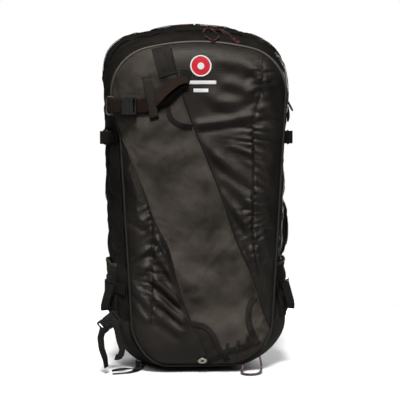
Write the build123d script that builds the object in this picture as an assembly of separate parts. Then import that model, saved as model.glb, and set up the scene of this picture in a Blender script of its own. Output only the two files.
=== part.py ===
"""Avalanche airbag backpack of about 33 litres, in millimetres.

The frame: +Z up, the pack stands on its base at Z = 0, its outer face looks along -Y and the
wearer's back is on the +Y side. X = 0 is the middle of the pack.
"""

from build123d import *

import os
from math import asin, cos, degrees, pi, radians, sin, tan

os.makedirs("parts", exist_ok=True)

# ---------------------------------------------------------------- driving dimensions
TOP_RADIUS = 390.0  # crown of the pack's top, the same at every depth
TOP_SHARE = 0.6  # share of the half width where the crown meets the shoulder arcs
WALL = 2.5  # fabric with its lining
PANEL_Y = -88.0  # depth of the front panel's piped edge
COVER_Y = 52.0  # the airbag cover starts here and runs back to the wearer's side
BOOT_TOP = 92.0  # height of the base boot on the sides
BACK_Y = 99.0  # outer face of the back wall
ZIP_Y = (-33.0, -17.0)  # depth range of the main zip's tape
ZIP_MID_Z = 611.0  # height of the crown at the main zip
MID_ZIP_Y = sum(ZIP_Y) / 2
COVER_ZIP_Y = COVER_Y + 20  # depth of the airbag's burst zip
COVER_ZIP_TOP = 620.6  # height of the crown there
WEBBING = 1.6  # thickness of webbing
GAP = 0.3  # clearance between pieces that don't touch

EYELET_X, EYELET_Y, EYELET_Z = 5.0, -99.0, 25.0
EYELET_R, EYELET_BARREL_R, EYELET_FLANGE_R = 3.2, 4.8, 8.0
EYELET_LENGTH = 5.0
EYELET_FLANGE = 1.0  # thickness
SKI_LAYER = 1.4  # thickness of the wear panel over the front

SIDE_ZIPS = (2.0, 40.0)  # depths of the two zips on the right side
SIDE_ZIP_Z = (200.0, 512.0)
SIDE_ZIP_HALF = 7.0
MAIN_ZIP_LOW = 330.0  # the main zip ends at this height on both sides
AIRBAG_ZIP_LOW = 210.0
ZIP_LIFT = 0.02  # a zip lies this far off the shell
ZIP_THICK = 1.3
MAIN_SLIDERS_X = (20.0, 42.0)
AIRBAG_SLIDER_X = 8.0
SIDE_SLIDERS_Z = (484.0, 498.0)

HAUL_Y, HAUL_Z = 112.0, 594.0  # where the haul loop hangs from its stubs
STRAP_THICK = 12.0
STRAP_FACE_Y = 160.0  # centre of the shoulder straps' upright stretch
STRAP_FRONT_Y = STRAP_FACE_Y + STRAP_THICK / 2  # the straps' outer face there
RAIL_X, RAIL_THICK, RAIL_HALF = 70.0, 3.0, 50.0  # sternum rail on each strap
STERNUM_Z = 455.0
STERNUM_BUCKLE = (31.0, 24.0, 8.0)  # length, width, thickness

HIP_PIVOT = (132.0, 111.0)
HIP_LINE = [HIP_PIVOT, (150, 152), (140, 196), (100, 222)]
HIP_Z = (72.0, 162.0)
HIP_THICK = 14.0
HIP_BUCKLE = (49.8, 38.0, 9.0)
HIP_BUCKLE_Y = 229.0
HIP_SOCKET_X, HIP_PLUG_X = -16.0, 53.0

UPPER_Z, LOWER_Z = 421.0, 150.0  # compression straps
POCKET_OUT = 10.0  # how far the side pockets stand off the gusset
LOCK_HINGE_Y = -34.0
LOCK = (27.0, 25.0, 3.6)  # width, length, thickness of a ladder lock
SMALL_LOCK = (26.0, 24.0, 3.6)

SKI_STRAP_Z = 478.0
SKI_WEB_Y = (-115.3, -113.7)  # depth range of the ski strap's webbing
SKI_BUCKLE_SIZE = (31.0, 30.0, 9.0)
LEG_Y = -78.0
LEG_HANG_Y = LEG_Y - 13.5  # the webbing hangs just in front of the buckle
LEG_BUCKLE_SIZE = (26.0, 24.0, 8.0)

HANDLE_X, HANDLE_Z = -87.0, 352.0  # trigger handle's plug axis and its shoulder
HANDLE_PLUG_Y = STRAP_FRONT_Y + 9.6
CABLE_IN = (-85.0, 575.0)  # where the cable goes through the back wall, (x, z)
CABLE_R = 2.0
CYLINDER_X, CYLINDER_Y = 95.0, 5.0
CYLINDER_R = 28.0
NECK_R = 10.5
VALVE_Z = 374.0  # height of the lever's pin and the gauge
LEVER_X = CYLINDER_X - 27.0
CABLE_STOP_X, CABLE_STOP_Z = 40.0, 401.0

CORD_D = 3.0  # zip pull cord
LOOP_CORD_D = 4.0  # ice axe loop
HUGE = 400.0  # larger than the pack

# Each section: depth y, half width at the shoulders, top height, half width at the base corner,
# corner radius, base height, and how a skin grows there along y and along the outline.
SECTIONS = [
    (100.0, 158.0, 612.0, 146.0, 86.0, 6.0, 0.7, 0.7),
    (85.0, 167.0, 622.0, 153.0, 93.0, 0.0, 0.0, 1.0),
    (-17.0, 164.0, 611.0, 150.0, 90.0, 0.0, 0.0, 1.0),
    (-33.0, 164.0, 611.0, 150.0, 90.0, 0.0, 0.0, 1.0),
    (-88.0, 154.0, 589.0, 131.0, 79.0, 14.0, -0.4, 0.9),
    (-104.0, 140.0, 572.0, 115.0, 70.0, 30.0, -0.8, 0.6),
    (-112.0, 112.0, 540.0, 90.0, 55.0, 58.0, -1.0, 0.3),
]


def write(node, *shapes):
    """One STEP file for a node, holding every solid of the shapes given."""
    solids = [s for shape in shapes for s in shape.solids()]
    export_step(Compound(children=solids), f"parts/{node}.step")


def upright(y):
    """The plane across the pack at depth y, with its local y along +Z."""
    return Plane(origin=(0, y, 0), x_dir=(1, 0, 0), z_dir=(0, -1, 0))


def block(x, y, z):
    """Box between two corners given as ranges."""
    size = (x[1] - x[0], y[1] - y[0], z[1] - z[0])
    centre = ((x[0] + x[1]) / 2, (y[0] + y[1]) / 2, (z[0] + z[1]) / 2)
    return Pos(*centre) * Box(*size)


def mirrored(shape):
    return mirror(shape, about=Plane.YZ)


def outline(section, grow=0.0):
    """Closed outline of the pack in a vertical plane: flat foot, corner arcs, shoulder arcs and crown."""
    half_top, z_top, half_low, r_low, z_low = section[1:6]
    flat = half_low - r_low
    lean = asin(half_top * TOP_SHARE / TOP_RADIUS)
    r_shoulder = (half_top * (1 - TOP_SHARE)) / (1 - sin(lean)) + grow
    crown_r = TOP_RADIUS + grow
    crown_z = z_top - TOP_RADIUS
    end = (crown_r * sin(lean), crown_z + crown_r * cos(lean))
    hub = (end[0] - r_shoulder * sin(lean), end[1] - r_shoulder * cos(lean))
    r_corner = r_low + grow
    corner_z = z_low + r_low
    edges = [
        Line((-flat, z_low - grow), (flat, z_low - grow)),
        CenterArc((flat, corner_z), r_corner, -90, 90),
        Line((flat + r_corner, corner_z), (hub[0] + r_shoulder, hub[1])),
        CenterArc(hub, r_shoulder, 0, 90 - degrees(lean)),
        CenterArc((0, crown_z), crown_r, 90 - degrees(lean), 2 * degrees(lean)),
        CenterArc((-hub[0], hub[1]), r_shoulder, 90 + degrees(lean), 90 - degrees(lean)),
        Line((-hub[0] - r_shoulder, hub[1]), (-flat - r_corner, corner_z)),
        CenterArc((-flat, corner_z), r_corner, 180, 90),
    ]
    return make_face(edges).faces()[0]


def body(grow=0.0, sections=SECTIONS):
    """The pack's whole volume, grown or shrunk by a skin's distance."""
    faces = []
    for section in sections:
        plane = upright(section[0] + grow * section[6])
        faces.append(plane * outline(section, grow * section[7]))
    return loft(faces, ruled=True)


def cavity():
    """Room inside the shell, open towards the wearer."""
    back = SECTIONS[0]
    faces = [upright(back[0] + 1) * outline(back, -WALL)]
    for section in SECTIONS[1:]:
        faces.append(upright(section[0] - WALL * section[6]) * outline(section, -WALL * section[7]))
    return loft(faces, ruled=True)


def skin(low, high):
    """A layer over the pack between two distances from its surface."""
    return body(high) - body(low)


def plate(plane, points, thickness, round_all=0.0):
    """Flat plate from a polygon in a plane."""
    sketch = make_face(Polyline(*points, close=True))
    if round_all:
        sketch = fillet(sketch.vertices(), round_all)
    return extrude(plane * sketch, thickness)


def front_prism(points):
    """Everything in front of the pack's middle within a polygon seen from the front."""
    return extrude(upright(-110) * make_face(Polyline(*points, close=True)), 60, both=True)


def ribbon(plane, points, thick, width, bend):
    """Webbing: a line in a plane, as thick as the webbing, extruded both ways to its width."""
    line = FilletPolyline(*points, radius=bend)
    return extrude(plane * trace(line, thick), width / 2, both=True)


def route(points, diameter):
    """A cord's tube along straight runs joined by tangent arcs. Each arc is as large as its runs allow."""
    nodes = [Vector(*p) for p in points]
    radii = []
    for before, here, after in zip(nodes, nodes[1:], nodes[2:]):
        turn = (here - before).get_angle(after - here)
        shorter = min((here - before).length, (after - here).length)
        radii.append(0.45 * shorter / tan(radians(turn) / 2))
    path = FilletPolyline(*nodes, radius=radii)
    start = Plane(origin=nodes[0], z_dir=nodes[1] - nodes[0])
    tube = sweep(start * Circle(diameter / 2), path=path.wire())
    ideal = pi * diameter**2 / 4 * path.length
    print("cord length", round(path.length, 1), "volume share", round(tube.volume / ideal, 3),
          "smallest radius", round(min(radii), 1))
    return tube


# ---------------------------------------------------------------- the bag
OUTER = body()
IN_FRONT = block((-HUGE, HUGE), (-HUGE, PANEL_Y), (-HUGE, 2 * HUGE))
BEHIND_PANEL = block((-HUGE, HUGE), (PANEL_Y, HUGE), (-HUGE, 2 * HUGE))
LOW = block((-HUGE, HUGE), (-HUGE, HUGE), (-HUGE, BOOT_TOP))
HIGH = block((-HUGE, HUGE), (-HUGE, HUGE), (BOOT_TOP, 2 * HUGE))
PANEL_FRONT = block((-HUGE, HUGE), (-HUGE, PANEL_Y - 2.2), (-HUGE, 2 * HUGE))
EYELET = Plane(origin=(EYELET_X, EYELET_Y, EYELET_Z), x_dir=(1, 0, 0), z_dir=(0, -1, -1))
# The diagonal wear panel seen from the front, (x, z)
SKI_PANEL = [(-45, 600), (-19, 481), (2, 425), (49, 306), (90, 193), (117, 110), (140, 80), (120, 0), (20, 0),
             (20, 34), (-29, 151), (-65, 239), (-88, 322), (-112, 373), (-128, 420), (-170, 440), (-170, 600)]


def make_bag():
    shell = OUTER - cavity()
    front = shell & IN_FRONT
    sides = shell & BEHIND_PANEL
    upper = sides & HIGH
    eyelet_hole = extrude(EYELET * Circle(EYELET_BARREL_R), 12, both=True)
    write("front_panel", front - eyelet_hole)
    write("base_boot", sides & LOW)
    write("main_shell", upper & block((-HUGE, HUGE), (-HUGE, COVER_Y), (-HUGE, 2 * HUGE)))
    write("airbag_cover", upper & block((-HUGE, HUGE), (COVER_Y, HUGE), (-HUGE, 2 * HUGE)))
    wall = cavity() & block((-HUGE, HUGE), (BACK_Y - 3, BACK_Y), (-HUGE, 2 * HUGE))
    cable_hole = Pos(CABLE_IN[0], BACK_Y, CABLE_IN[1]) * Rot(90, 0, 0) * Cylinder(3.0, 20)
    write("back_wall", wall - cable_hole)
    write("ski_panel", (skin(0, SKI_LAYER) & front_prism(SKI_PANEL) & PANEL_FRONT) - eyelet_hole)
    barrel = extrude(EYELET * Circle(EYELET_BARREL_R - 0.05), EYELET_LENGTH / 2, both=True)
    flange_plane = EYELET.offset(EYELET_LENGTH / 2 - EYELET_FLANGE)
    flange = extrude(flange_plane * Circle(EYELET_FLANGE_R), EYELET_FLANGE)
    hole = extrude(EYELET * Circle(EYELET_R), EYELET_LENGTH, both=True)
    write("eyelet", ((barrel + flange) - hole) - (skin(-WALL, SKI_LAYER) - eyelet_hole))


def make_piping():
    """Piped seam round the front panel."""
    edge = SECTIONS[4]
    ring = outline(edge, 2.6) - outline(edge, -1.5)
    band = extrude(upright(PANEL_Y + 2) * ring, 4)
    write("front_piping", band - body(0.02))


def make_zip_tracks():
    """Main zip over the top, two side zips and the airbag's burst zip along its cover."""
    main = SECTIONS[2]
    face = outline(main, ZIP_THICK) - outline(main, ZIP_LIFT)
    ring = extrude(upright(ZIP_Y[1]) * face, ZIP_Y[1] - ZIP_Y[0])
    main_track = ring & block((-HUGE, HUGE), (-HUGE, HUGE), (MAIN_ZIP_LOW, 2 * HUGE))
    layer = skin(ZIP_LIFT, ZIP_THICK)
    side_tracks = [layer & block((100, HUGE), (y - SIDE_ZIP_HALF, y + SIDE_ZIP_HALF), SIDE_ZIP_Z)
                   for y in SIDE_ZIPS]
    burst = layer & block((-HUGE, HUGE), (COVER_ZIP_Y - 6, COVER_ZIP_Y + 6), (AIRBAG_ZIP_LOW, 2 * HUGE))
    write("zip_tracks", main_track, side_tracks[0], side_tracks[1], burst - side_tracks[1])


# ---------------------------------------------------------------- harness
def strap_outline(side):
    """Front view of one shoulder strap: both edges as smooth lines, mirrored for the left."""
    inner = [(20, 585), (28, 540), (40, 490), (40, 390), (52, 330), (78, 275), (84, 240)]
    outer = [(128, 240), (130, 275), (122, 330), (103, 390), (100, 490), (92, 540), (82, 585)]
    edges = [Spline(*inner), Line(inner[-1], outer[0]), Spline(*outer), Line(outer[-1], inner[0])]
    shape = extrude(upright(0) * make_face(edges), -HUGE)
    return shape if side > 0 else mirrored(shape)


STRAP_LINE = [(96, 542), (120, 572), (146, 572), (STRAP_FACE_Y, 530), (STRAP_FACE_Y, 330),
              (148, 292), (126, 258)]


def make_shoulder_straps():
    side_plane = Plane(origin=(0, 0, 0), x_dir=(0, 1, 0), z_dir=(1, 0, 0))
    line = FilletPolyline(*STRAP_LINE, radius=[10, 14, 18, 40, 30])
    pad = extrude(side_plane * trace(line, STRAP_THICK), HUGE / 2, both=True)
    keep_off = block((-HUGE, HUGE), (-HUGE, BACK_Y + 1.2), (-HUGE, 2 * HUGE))
    rail = block((RAIL_X - 3, RAIL_X + 3), (STRAP_FRONT_Y, STRAP_FRONT_Y + RAIL_THICK),
                 (STERNUM_Z - RAIL_HALF - 5, STERNUM_Z + RAIL_HALF - 5))
    for side, name in ((-1, "left"), (1, "right")):
        strap = (pad & strap_outline(side)) - keep_off
        ridge = rail if side > 0 else mirrored(rail)
        write(f"shoulder_strap_{name}", strap + ridge)
    lifter = ribbon(Plane(origin=(52, 0, 0), x_dir=(0, 1, 0), z_dir=(1, 0, 0)),
                    [(BACK_Y + 2.8, 602), (121, 590), (143, 583.5)], WEBBING, 20, 12)
    lifter = lifter - pad
    low_from, low_to = Vector(106, 130, 252), Vector(147, 103.6, 188)
    along = low_to - low_from
    low_plane = Plane(origin=low_from + along * 0.5, x_dir=along, z_dir=along.cross(Vector(0.4, 1, 0.4)))
    low = low_plane * Box(along.length, WEBBING, 20)
    low = low - pad
    root = block((36.6, 41.4), (BACK_Y + 1.2, HAUL_Y + 4), (HAUL_Z - 6, HAUL_Z + 6))
    write("shoulder_webbing", lifter, mirrored(lifter), low, mirrored(low), root, mirrored(root))


def ladder_lock(width, length, thick):
    """Flat frame with two webbing slots, in its own frame: hinge bar at the origin, frame towards +X."""
    bar = 2.2
    frame = Pos(length / 2 - bar, 0, 0) * Box(length, width, thick)
    frame = fillet(frame.edges().filter_by(Axis.Z), 2.5)
    slot = (length - 4 * bar) / 2
    first = Pos(bar + slot / 2, 0, 0) * Box(slot, width - 6, thick * 2)
    second = Pos(2.6 * bar + slot * 1.5, 0, 0) * Box(slot, width - 6, thick * 2)
    return frame - first - second


def side_x(y, z):
    """Half width of the pack's side at a depth between the first sections and a height on its straight side."""
    pairs = list(zip(SECTIONS, SECTIONS[1:]))
    first, second = next(p for p in pairs if p[1][0] <= y <= p[0][0] and p[0][0] > p[1][0])
    share = (first[0] - y) / (first[0] - second[0])

    def at(section):
        half_top, z_top, half_low, r_low, z_low = section[1:6]
        lean = asin(half_top * TOP_SHARE / TOP_RADIUS)
        r = half_top * (1 - TOP_SHARE) / (1 - sin(lean))
        hub_z = z_top - TOP_RADIUS + (TOP_RADIUS - r) * cos(lean)
        low_z = z_low + r_low
        return half_low + (half_top - half_low) * (z - low_z) / (hub_z - low_z)

    return at(first) * (1 - share) + at(second) * share


def lock_plane(z, offset):
    """Where a compression lock lies on the right side: local x runs forward, local z points outward."""
    x0, x1 = side_x(LOCK_HINGE_Y, z), side_x(LOCK_HINGE_Y - 30, z)
    forward = Vector(x1 - x0, -30, 0)
    outward = Vector(30, x1 - x0, 0).normalized()
    origin = Vector(x0, LOCK_HINGE_Y, z) + outward * offset
    return Plane(origin=origin, x_dir=forward, z_dir=outward)


def make_compression_straps():
    upper = skin(2.0, 2.0 + WEBBING) & block((100, HUGE), (-80, 70), (UPPER_Z - 10, UPPER_Z + 10))
    over_pocket = skin(POCKET_OUT + 0.6, POCKET_OUT + 0.6 + WEBBING)
    lower = over_pocket & block((100, HUGE), (-80, 70), (LOWER_Z - 10, LOWER_Z + 10))
    tail_x = side_x(-60, UPPER_Z)
    tail = block((tail_x + 4.2, tail_x + 19), (-64.0, -61.0), (UPPER_Z - 12, UPPER_Z + 12))
    low_x = side_x(-62, LOWER_Z)
    low_tail = Pos(low_x + 21, -66, LOWER_Z - 16) * Rot(0, -8, 0) * Box(18, 3, 48)
    straps = [upper, lower, tail, low_tail]
    write("compression_webbing", *straps, *[mirrored(s) for s in straps])
    lock = lock_plane(UPPER_Z, 6.4) * ladder_lock(*LOCK)
    write("upper_right_lock", lock)
    write("upper_left_lock", mirrored(lock))
    low_lock = lock_plane(LOWER_Z, POCKET_OUT + 4.8) * ladder_lock(*LOCK)
    strap_end = Plane(origin=(108, 138, 254), x_dir=(0.45, -0.3, -0.75), z_dir=(0.3, 1, -0.2))
    adjuster = strap_end * Pos(0, 0, 3.4) * ladder_lock(*SMALL_LOCK)
    write("fixed_locks", low_lock, mirrored(low_lock), adjuster, mirrored(adjuster))


def buckle_female(length, width, thick):
    """Side-release socket in its own frame, mouth at x = 0 and body towards -X."""
    shell = Pos(-length / 2, 0, 0) * Box(length, width, thick)
    shell = fillet(shell.edges().filter_by(Axis.Z), 2.0)
    room = Pos(-length * 0.3, 0, 0) * Box(length * 0.6, width - 5, thick - 3.2)
    windows = Pos(-length * 0.38, 0, 0) * Box(length * 0.3, width * 2, thick - 3.2)
    web_slot = Pos(-length + 4.2, 0, 0) * Box(3, width - 6, thick * 2)
    return shell - room - windows - web_slot


def buckle_male(reach, width, thick):
    """Plug of the same buckle: base towards +X from x = 0.4, three prongs reaching into the socket."""
    base = Pos(6.4, 0, 0) * Box(12, width, thick)
    base = fillet(base.edges().filter_by(Axis.Z), 2.0) - Pos(8.6, 0, 0) * Box(3, width - 6, thick * 2)
    prong = Box(reach, 3.4, thick - 4.4)
    spread = width / 2 - 4.6
    prongs = [Pos(0.8 - reach / 2, y, 0) * prong for y in (-spread, 0, spread)]
    return base + prongs[0] + prongs[1] + prongs[2]


def make_sternum_strap():
    y0 = STRAP_FRONT_Y
    clip = block((RAIL_X - 12, RAIL_X + 12), (y0 + GAP, y0 + 9), (STERNUM_Z - 10, STERNUM_Z + 10))
    groove_y = (y0 - 1, y0 + RAIL_THICK + 0.4)
    groove = block((RAIL_X - 3.4, RAIL_X + 3.4), groove_y, (STERNUM_Z - 20, STERNUM_Z + 20))
    clip = clip - groove
    write("sternum_clips", clip, mirrored(clip))
    mid_y = y0 + 5.5
    strip = block((4, 58), (mid_y + 4.3, mid_y + 4.3 + WEBBING), (STERNUM_Z - 9, STERNUM_Z + 9))
    left = block((-58, -31), (mid_y - WEBBING / 2, mid_y + WEBBING / 2), (STERNUM_Z - 9, STERNUM_Z + 9))
    write("sternum_webbing", strip, left)
    flat = Plane(origin=(0, mid_y, STERNUM_Z), x_dir=(1, 0, 0), z_dir=(0, 1, 0))
    write("sternum_buckle_female", flat * buckle_female(*STERNUM_BUCKLE))
    write("sternum_buckle_male", flat * buckle_male(17, *STERNUM_BUCKLE[1:]))


def make_hip_belt():
    line = FilletPolyline(*HIP_LINE, radius=[28, 32])
    height = HIP_Z[1] - HIP_Z[0]
    centre_z = sum(HIP_Z) / 2
    flat = Plane(origin=(0, 0, centre_z), x_dir=(1, 0, 0), z_dir=(0, 0, 1))
    wing = extrude(flat * trace(line, HIP_THICK), height / 2, both=True)
    cap = Pos(HIP_PIVOT[0], HIP_PIVOT[1], centre_z) * Cylinder(HIP_THICK / 2, height)
    side_shape = Polyline((HIP_PIVOT[1] - 20, HIP_Z[0]), (170, HIP_Z[0] + 2), (240, centre_z - 24),
                          (240, centre_z + 24), (170, HIP_Z[1] - 2), (HIP_PIVOT[1] - 20, HIP_Z[1]),
                          close=True)
    side_plane = Plane(origin=(0, 0, 0), x_dir=(0, 1, 0), z_dir=(1, 0, 0))
    trim = extrude(side_plane * make_face(side_shape), 300)
    wing = (wing + cap) & trim
    strip_y = HIP_BUCKLE_Y - WEBBING / 2
    strip = block((66, 104), (strip_y, strip_y + WEBBING), (centre_z - 12, centre_z + 12)) - wing
    write("hip_wing_right", wing)
    write("hip_wing_left", mirrored(wing))
    write("hip_webbing_right", strip)
    write("hip_webbing_left", mirrored(strip))
    plug = Plane(origin=(HIP_PLUG_X, HIP_BUCKLE_Y, centre_z), x_dir=(1, 0, 0), z_dir=(0, 1, 0))
    write("hip_buckle_male", plug * buckle_male(26, *HIP_BUCKLE[1:]))
    socket = Plane(origin=(HIP_SOCKET_X, HIP_BUCKLE_Y, centre_z), x_dir=(1, 0, 0), z_dir=(0, 1, 0))
    write("hip_buckle_female", socket * buckle_female(*HIP_BUCKLE))


def make_back_pads():
    y = BACK_Y + 1.2

    def pad(x, z, thick):
        shape = block(x, (y, y + thick), z)
        shape = fillet(shape.edges().filter_by(Axis.Y), 16)
        return fillet(shape.faces().sort_by(Axis.Y)[-1].edges(), 5)

    right = pad((16, 96), (196, 512), 14)
    lumbar = pad((-92, 92), (62, 176), 17)
    write("back_pads", right, mirrored(right), lumbar)


def make_haul_loop():
    line = [(-34, HAUL_Y), (-32, HAUL_Y + 18), (-16, HAUL_Y + 30), (16, HAUL_Y + 30), (32, HAUL_Y + 18),
            (34, HAUL_Y)]
    loop = ribbon(Plane(origin=(0, 0, HAUL_Z), x_dir=(1, 0, 0), z_dir=(0, 0, 1)), line, 4, 18,
                  [12, 14, 14, 12])
    write("haul_loop", loop)


# ---------------------------------------------------------------- airbag system
def make_airbag_system():
    bundle = outline(SECTIONS[1], -9) - outline(SECTIONS[1], -52)
    bundle = extrude(upright(84) * bundle, 26)
    write("airbag_folded", bundle & block((-HUGE, HUGE), (-HUGE, HUGE), (210, 2 * HUGE)))

    axis = Pos(CYLINDER_X, CYLINDER_Y, 0)
    profile = make_face([
        Line((0, 112), (CYLINDER_R - 10, 112)),
        RadiusArc((CYLINDER_R - 10, 112), (CYLINDER_R, 122), -10),
        Line((CYLINDER_R, 122), (CYLINDER_R, 316)),
        RadiusArc((CYLINDER_R, 316), (NECK_R, 338), -26),
        Line((NECK_R, 338), (NECK_R, 362)),
        Line((NECK_R, 362), (0, 362)),
        Line((0, 362), (0, 112)),
    ])
    write("gas_cylinder", axis * revolve(Plane.XZ * profile, Axis.Z))
    bands = []
    for z in (160, 270):
        ring = Pos(0, 0, z) * (Cylinder(CYLINDER_R + 2.2, 25) - Cylinder(CYLINDER_R + 0.2, 30))
        bands.append(axis * ring)
    write("cylinder_bands", *bands)

    valve = axis * Pos(0, 0, 369) * Box(40, 34, 46)
    valve = fillet(valve.edges().filter_by(Axis.Z), 6)
    neck_bore = axis * Pos(0, 0, 354.5) * Cylinder(NECK_R + 0.05, 17)
    gauge_seat_y = CYLINDER_Y - 17
    lever_pin = Pos(LEVER_X, CYLINDER_Y, VALVE_Z) * Rot(90, 0, 0) * Cylinder(2.5, 20)
    ears = [block((CYLINDER_X - 33, CYLINDER_X - 19.5), (CYLINDER_Y + s * 8 - 1.6, CYLINDER_Y + s * 8 + 1.6),
                  (VALVE_Z - 7, VALVE_Z + 7)) for s in (-1, 1)]
    stop = block((CABLE_STOP_X, CABLE_STOP_X + 3), (CYLINDER_Y - 5, CYLINDER_Y + 10), (393, 409))
    arm = block((CABLE_STOP_X, CYLINDER_X - 15), (CYLINDER_Y + 7, CYLINDER_Y + 10), (393, 409))
    foot = block((CYLINDER_X - 18, CYLINDER_X - 10), (CYLINDER_Y + 7, CYLINDER_Y + 10), (386, 409))
    lever = Pos(LEVER_X, CYLINDER_Y, VALVE_Z) * Rot(90, 0, 0) * Cylinder(5, 9)
    arm_y = (CYLINDER_Y - 4.5, CYLINDER_Y + 4.5)
    lever_arm = block((LEVER_X - 3, LEVER_X + 3), arm_y, (VALVE_Z + 2, VALVE_Z + 30))
    lever_bore = Pos(LEVER_X, CYLINDER_Y, VALVE_Z) * Rot(90, 0, 0) * Cylinder(2.55, 30)
    write("release_lever", (lever + lever_arm) - lever_bore)

    gauge = Pos(CYLINDER_X, gauge_seat_y - 6, VALVE_Z) * Rot(90, 0, 0) * Cylinder(13, 12)
    dial = Pos(CYLINDER_X, gauge_seat_y - 11, VALVE_Z) * Rot(90, 0, 0) * Cylinder(11.6, 4)
    pin = Pos(CYLINDER_X, gauge_seat_y - 10, VALVE_Z) * Rot(90, 0, 0) * Cylinder(1.0, 3)
    write("valve_body", (valve - neck_bore) + ears[0] + ears[1] + lever_pin + stop + arm + foot
          + ((gauge - dial) + pin))
    needle = block((CYLINDER_X - 0.8, CYLINDER_X + 0.8), (gauge_seat_y - 11, gauge_seat_y - 10),
                   (VALVE_Z - 3, VALVE_Z + 9))
    hub = Pos(CYLINDER_X, gauge_seat_y - 10.5, VALVE_Z) * Rot(90, 0, 0) * Cylinder(2.2, 1)
    needle_bore = Pos(CYLINDER_X, gauge_seat_y - 10, VALVE_Z) * Rot(90, 0, 0) * Cylinder(1.05, 8)
    write("gauge_needle", (needle + hub) - needle_bore)

    inflator = Pos(30, 37, 570) * Rot(90, 0, 0) * Cylinder(20, 38)
    throat = Pos(30, 40, 570) * Rot(90, 0, 0) * Cylinder(16, 36)
    write("inflator", inflator - throat)
    hose_line = [(CYLINDER_X, CYLINDER_Y, 392), (CYLINDER_X, CYLINDER_Y, 450), (70, 2, 505),
                 (32, 0, 545), (30, 0, 570), (30, 18, 570)]
    path = FilletPolyline(*[Vector(*p) for p in hose_line], radius=[30, 25, 12, 8])
    hose = sweep(Plane(origin=hose_line[0], z_dir=(0, 0, 1)) * Circle(5), path=path.wire())
    write("inflation_hose", hose)

    holder_y = STRAP_FRONT_Y
    holder = block((HANDLE_X - 12, HANDLE_X + 12), (holder_y + GAP, holder_y + 19), (HANDLE_Z, HANDLE_Z + 34))
    holder = fillet(holder.edges().filter_by(Axis.Y), 5)
    plug_y = HANDLE_PLUG_Y
    bore = Pos(HANDLE_X, plug_y, HANDLE_Z + 11) * Cylinder(6.1, 24)
    cable_bore = Pos(HANDLE_X, plug_y, HANDLE_Z + 30) * Cylinder(2.3, 30)
    write("handle_holder", holder - bore - cable_bore)
    grip = block((HANDLE_X - 34, HANDLE_X + 34), (plug_y - 8, plug_y + 8), (HANDLE_Z - 26, HANDLE_Z - 4))
    grip = fillet(grip.edges(), 6)
    plug = Pos(HANDLE_X, plug_y, HANDLE_Z + 6) * Cylinder(5.8, 32)
    write("trigger_handle", grip + plug)
    cable_line = [(HANDLE_X, plug_y, HANDLE_Z + 34), (HANDLE_X, plug_y - 2, 410),
                  (HANDLE_X, holder_y + 3.4, 436), (HANDLE_X, holder_y + 3.6, 532),
                  (CABLE_IN[0], 152.5, 582), (CABLE_IN[0], 116, 581.5), (CABLE_IN[0], 106, CABLE_IN[1]),
                  (CABLE_IN[0], 90, CABLE_IN[1]), (CABLE_IN[0], 89, 537), (-80, 50, 528), (-40, 12, 470),
                  (6, CYLINDER_Y, 404), (CABLE_STOP_X - 0.4, CYLINDER_Y, CABLE_STOP_Z)]
    path = FilletPolyline(*[Vector(*p) for p in cable_line],
                          radius=[14, 14, 20, 12, 6, 5, 10, 14, 20, 30, 25])
    start = Plane(origin=cable_line[0], z_dir=Vector(*cable_line[1]) - Vector(*cable_line[0]))
    write("trigger_cable", sweep(start * Circle(CABLE_R), path=path.wire()))


def make_frame():
    sheet = block((-118, 118), (90.6, 92.6), (40, 520))
    stay = block((54, 66), (87.4, 90.6), (60, 510))
    write("frame_sheet", fillet(sheet.edges().filter_by(Axis.Y), 25))
    write("frame_stays", stay, mirrored(stay))


# ---------------------------------------------------------------- front straps, pulls and pockets
SKI_BUCKLE = Plane(origin=(-124, -119.4, SKI_STRAP_Z), x_dir=(0.99, -0.14, 0), z_dir=(-0.14, -0.99, 0))


def make_ski_straps():
    write("ski_buckle_female", SKI_BUCKLE * buckle_female(*SKI_BUCKLE_SIZE))
    write("ski_buckle_male", SKI_BUCKLE * buckle_male(14, *SKI_BUCKLE_SIZE[1:]))
    low = block((-116, -92), SKI_WEB_Y, (SKI_STRAP_Z - 12.5, SKI_STRAP_Z + 12.5))
    rise = plate(upright(SKI_WEB_Y[1]), [(-92, SKI_STRAP_Z - 12.5), (-34, 508), (-34, 538),
                                   (-92, SKI_STRAP_Z + 12.5)], WEBBING)
    write("ski_strap_webbing", low + rise)
    keeper_z = (455, 527)
    keeper = block((-97, -79), (-119.4, -117.8), keeper_z)
    for foot_z in ((keeper_z[0], keeper_z[0] + 4), (keeper_z[1] - 4, keeper_z[1])):
        keeper = keeper + block((-97, -79), (-117.8, SKI_WEB_Y[1]), foot_z)
    flat = skin(1.7, 3.3) & PANEL_FRONT
    band = [(118, 128), (134, 118), (104, 52), (76, 30), (20, 24), (14, 52), (52, 46), (98, 62), (106, 92)]
    low_loop = flat & front_prism(band)
    anchor = block((-33.8, -16), (-116, SKI_WEB_Y[1]), (504, 538))
    side_anchor = block((-157, -155.4), (-112, PANEL_Y - 2.4), (SKI_STRAP_Z - 12, SKI_STRAP_Z + 12))
    write("ski_webbing_fixed", keeper, low_loop, anchor, side_anchor)


LEG_BUCKLE = Plane(origin=(-166, LEG_Y, 88), x_dir=(-0.785, 0, -0.62), z_dir=(0, -1, 0))


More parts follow.
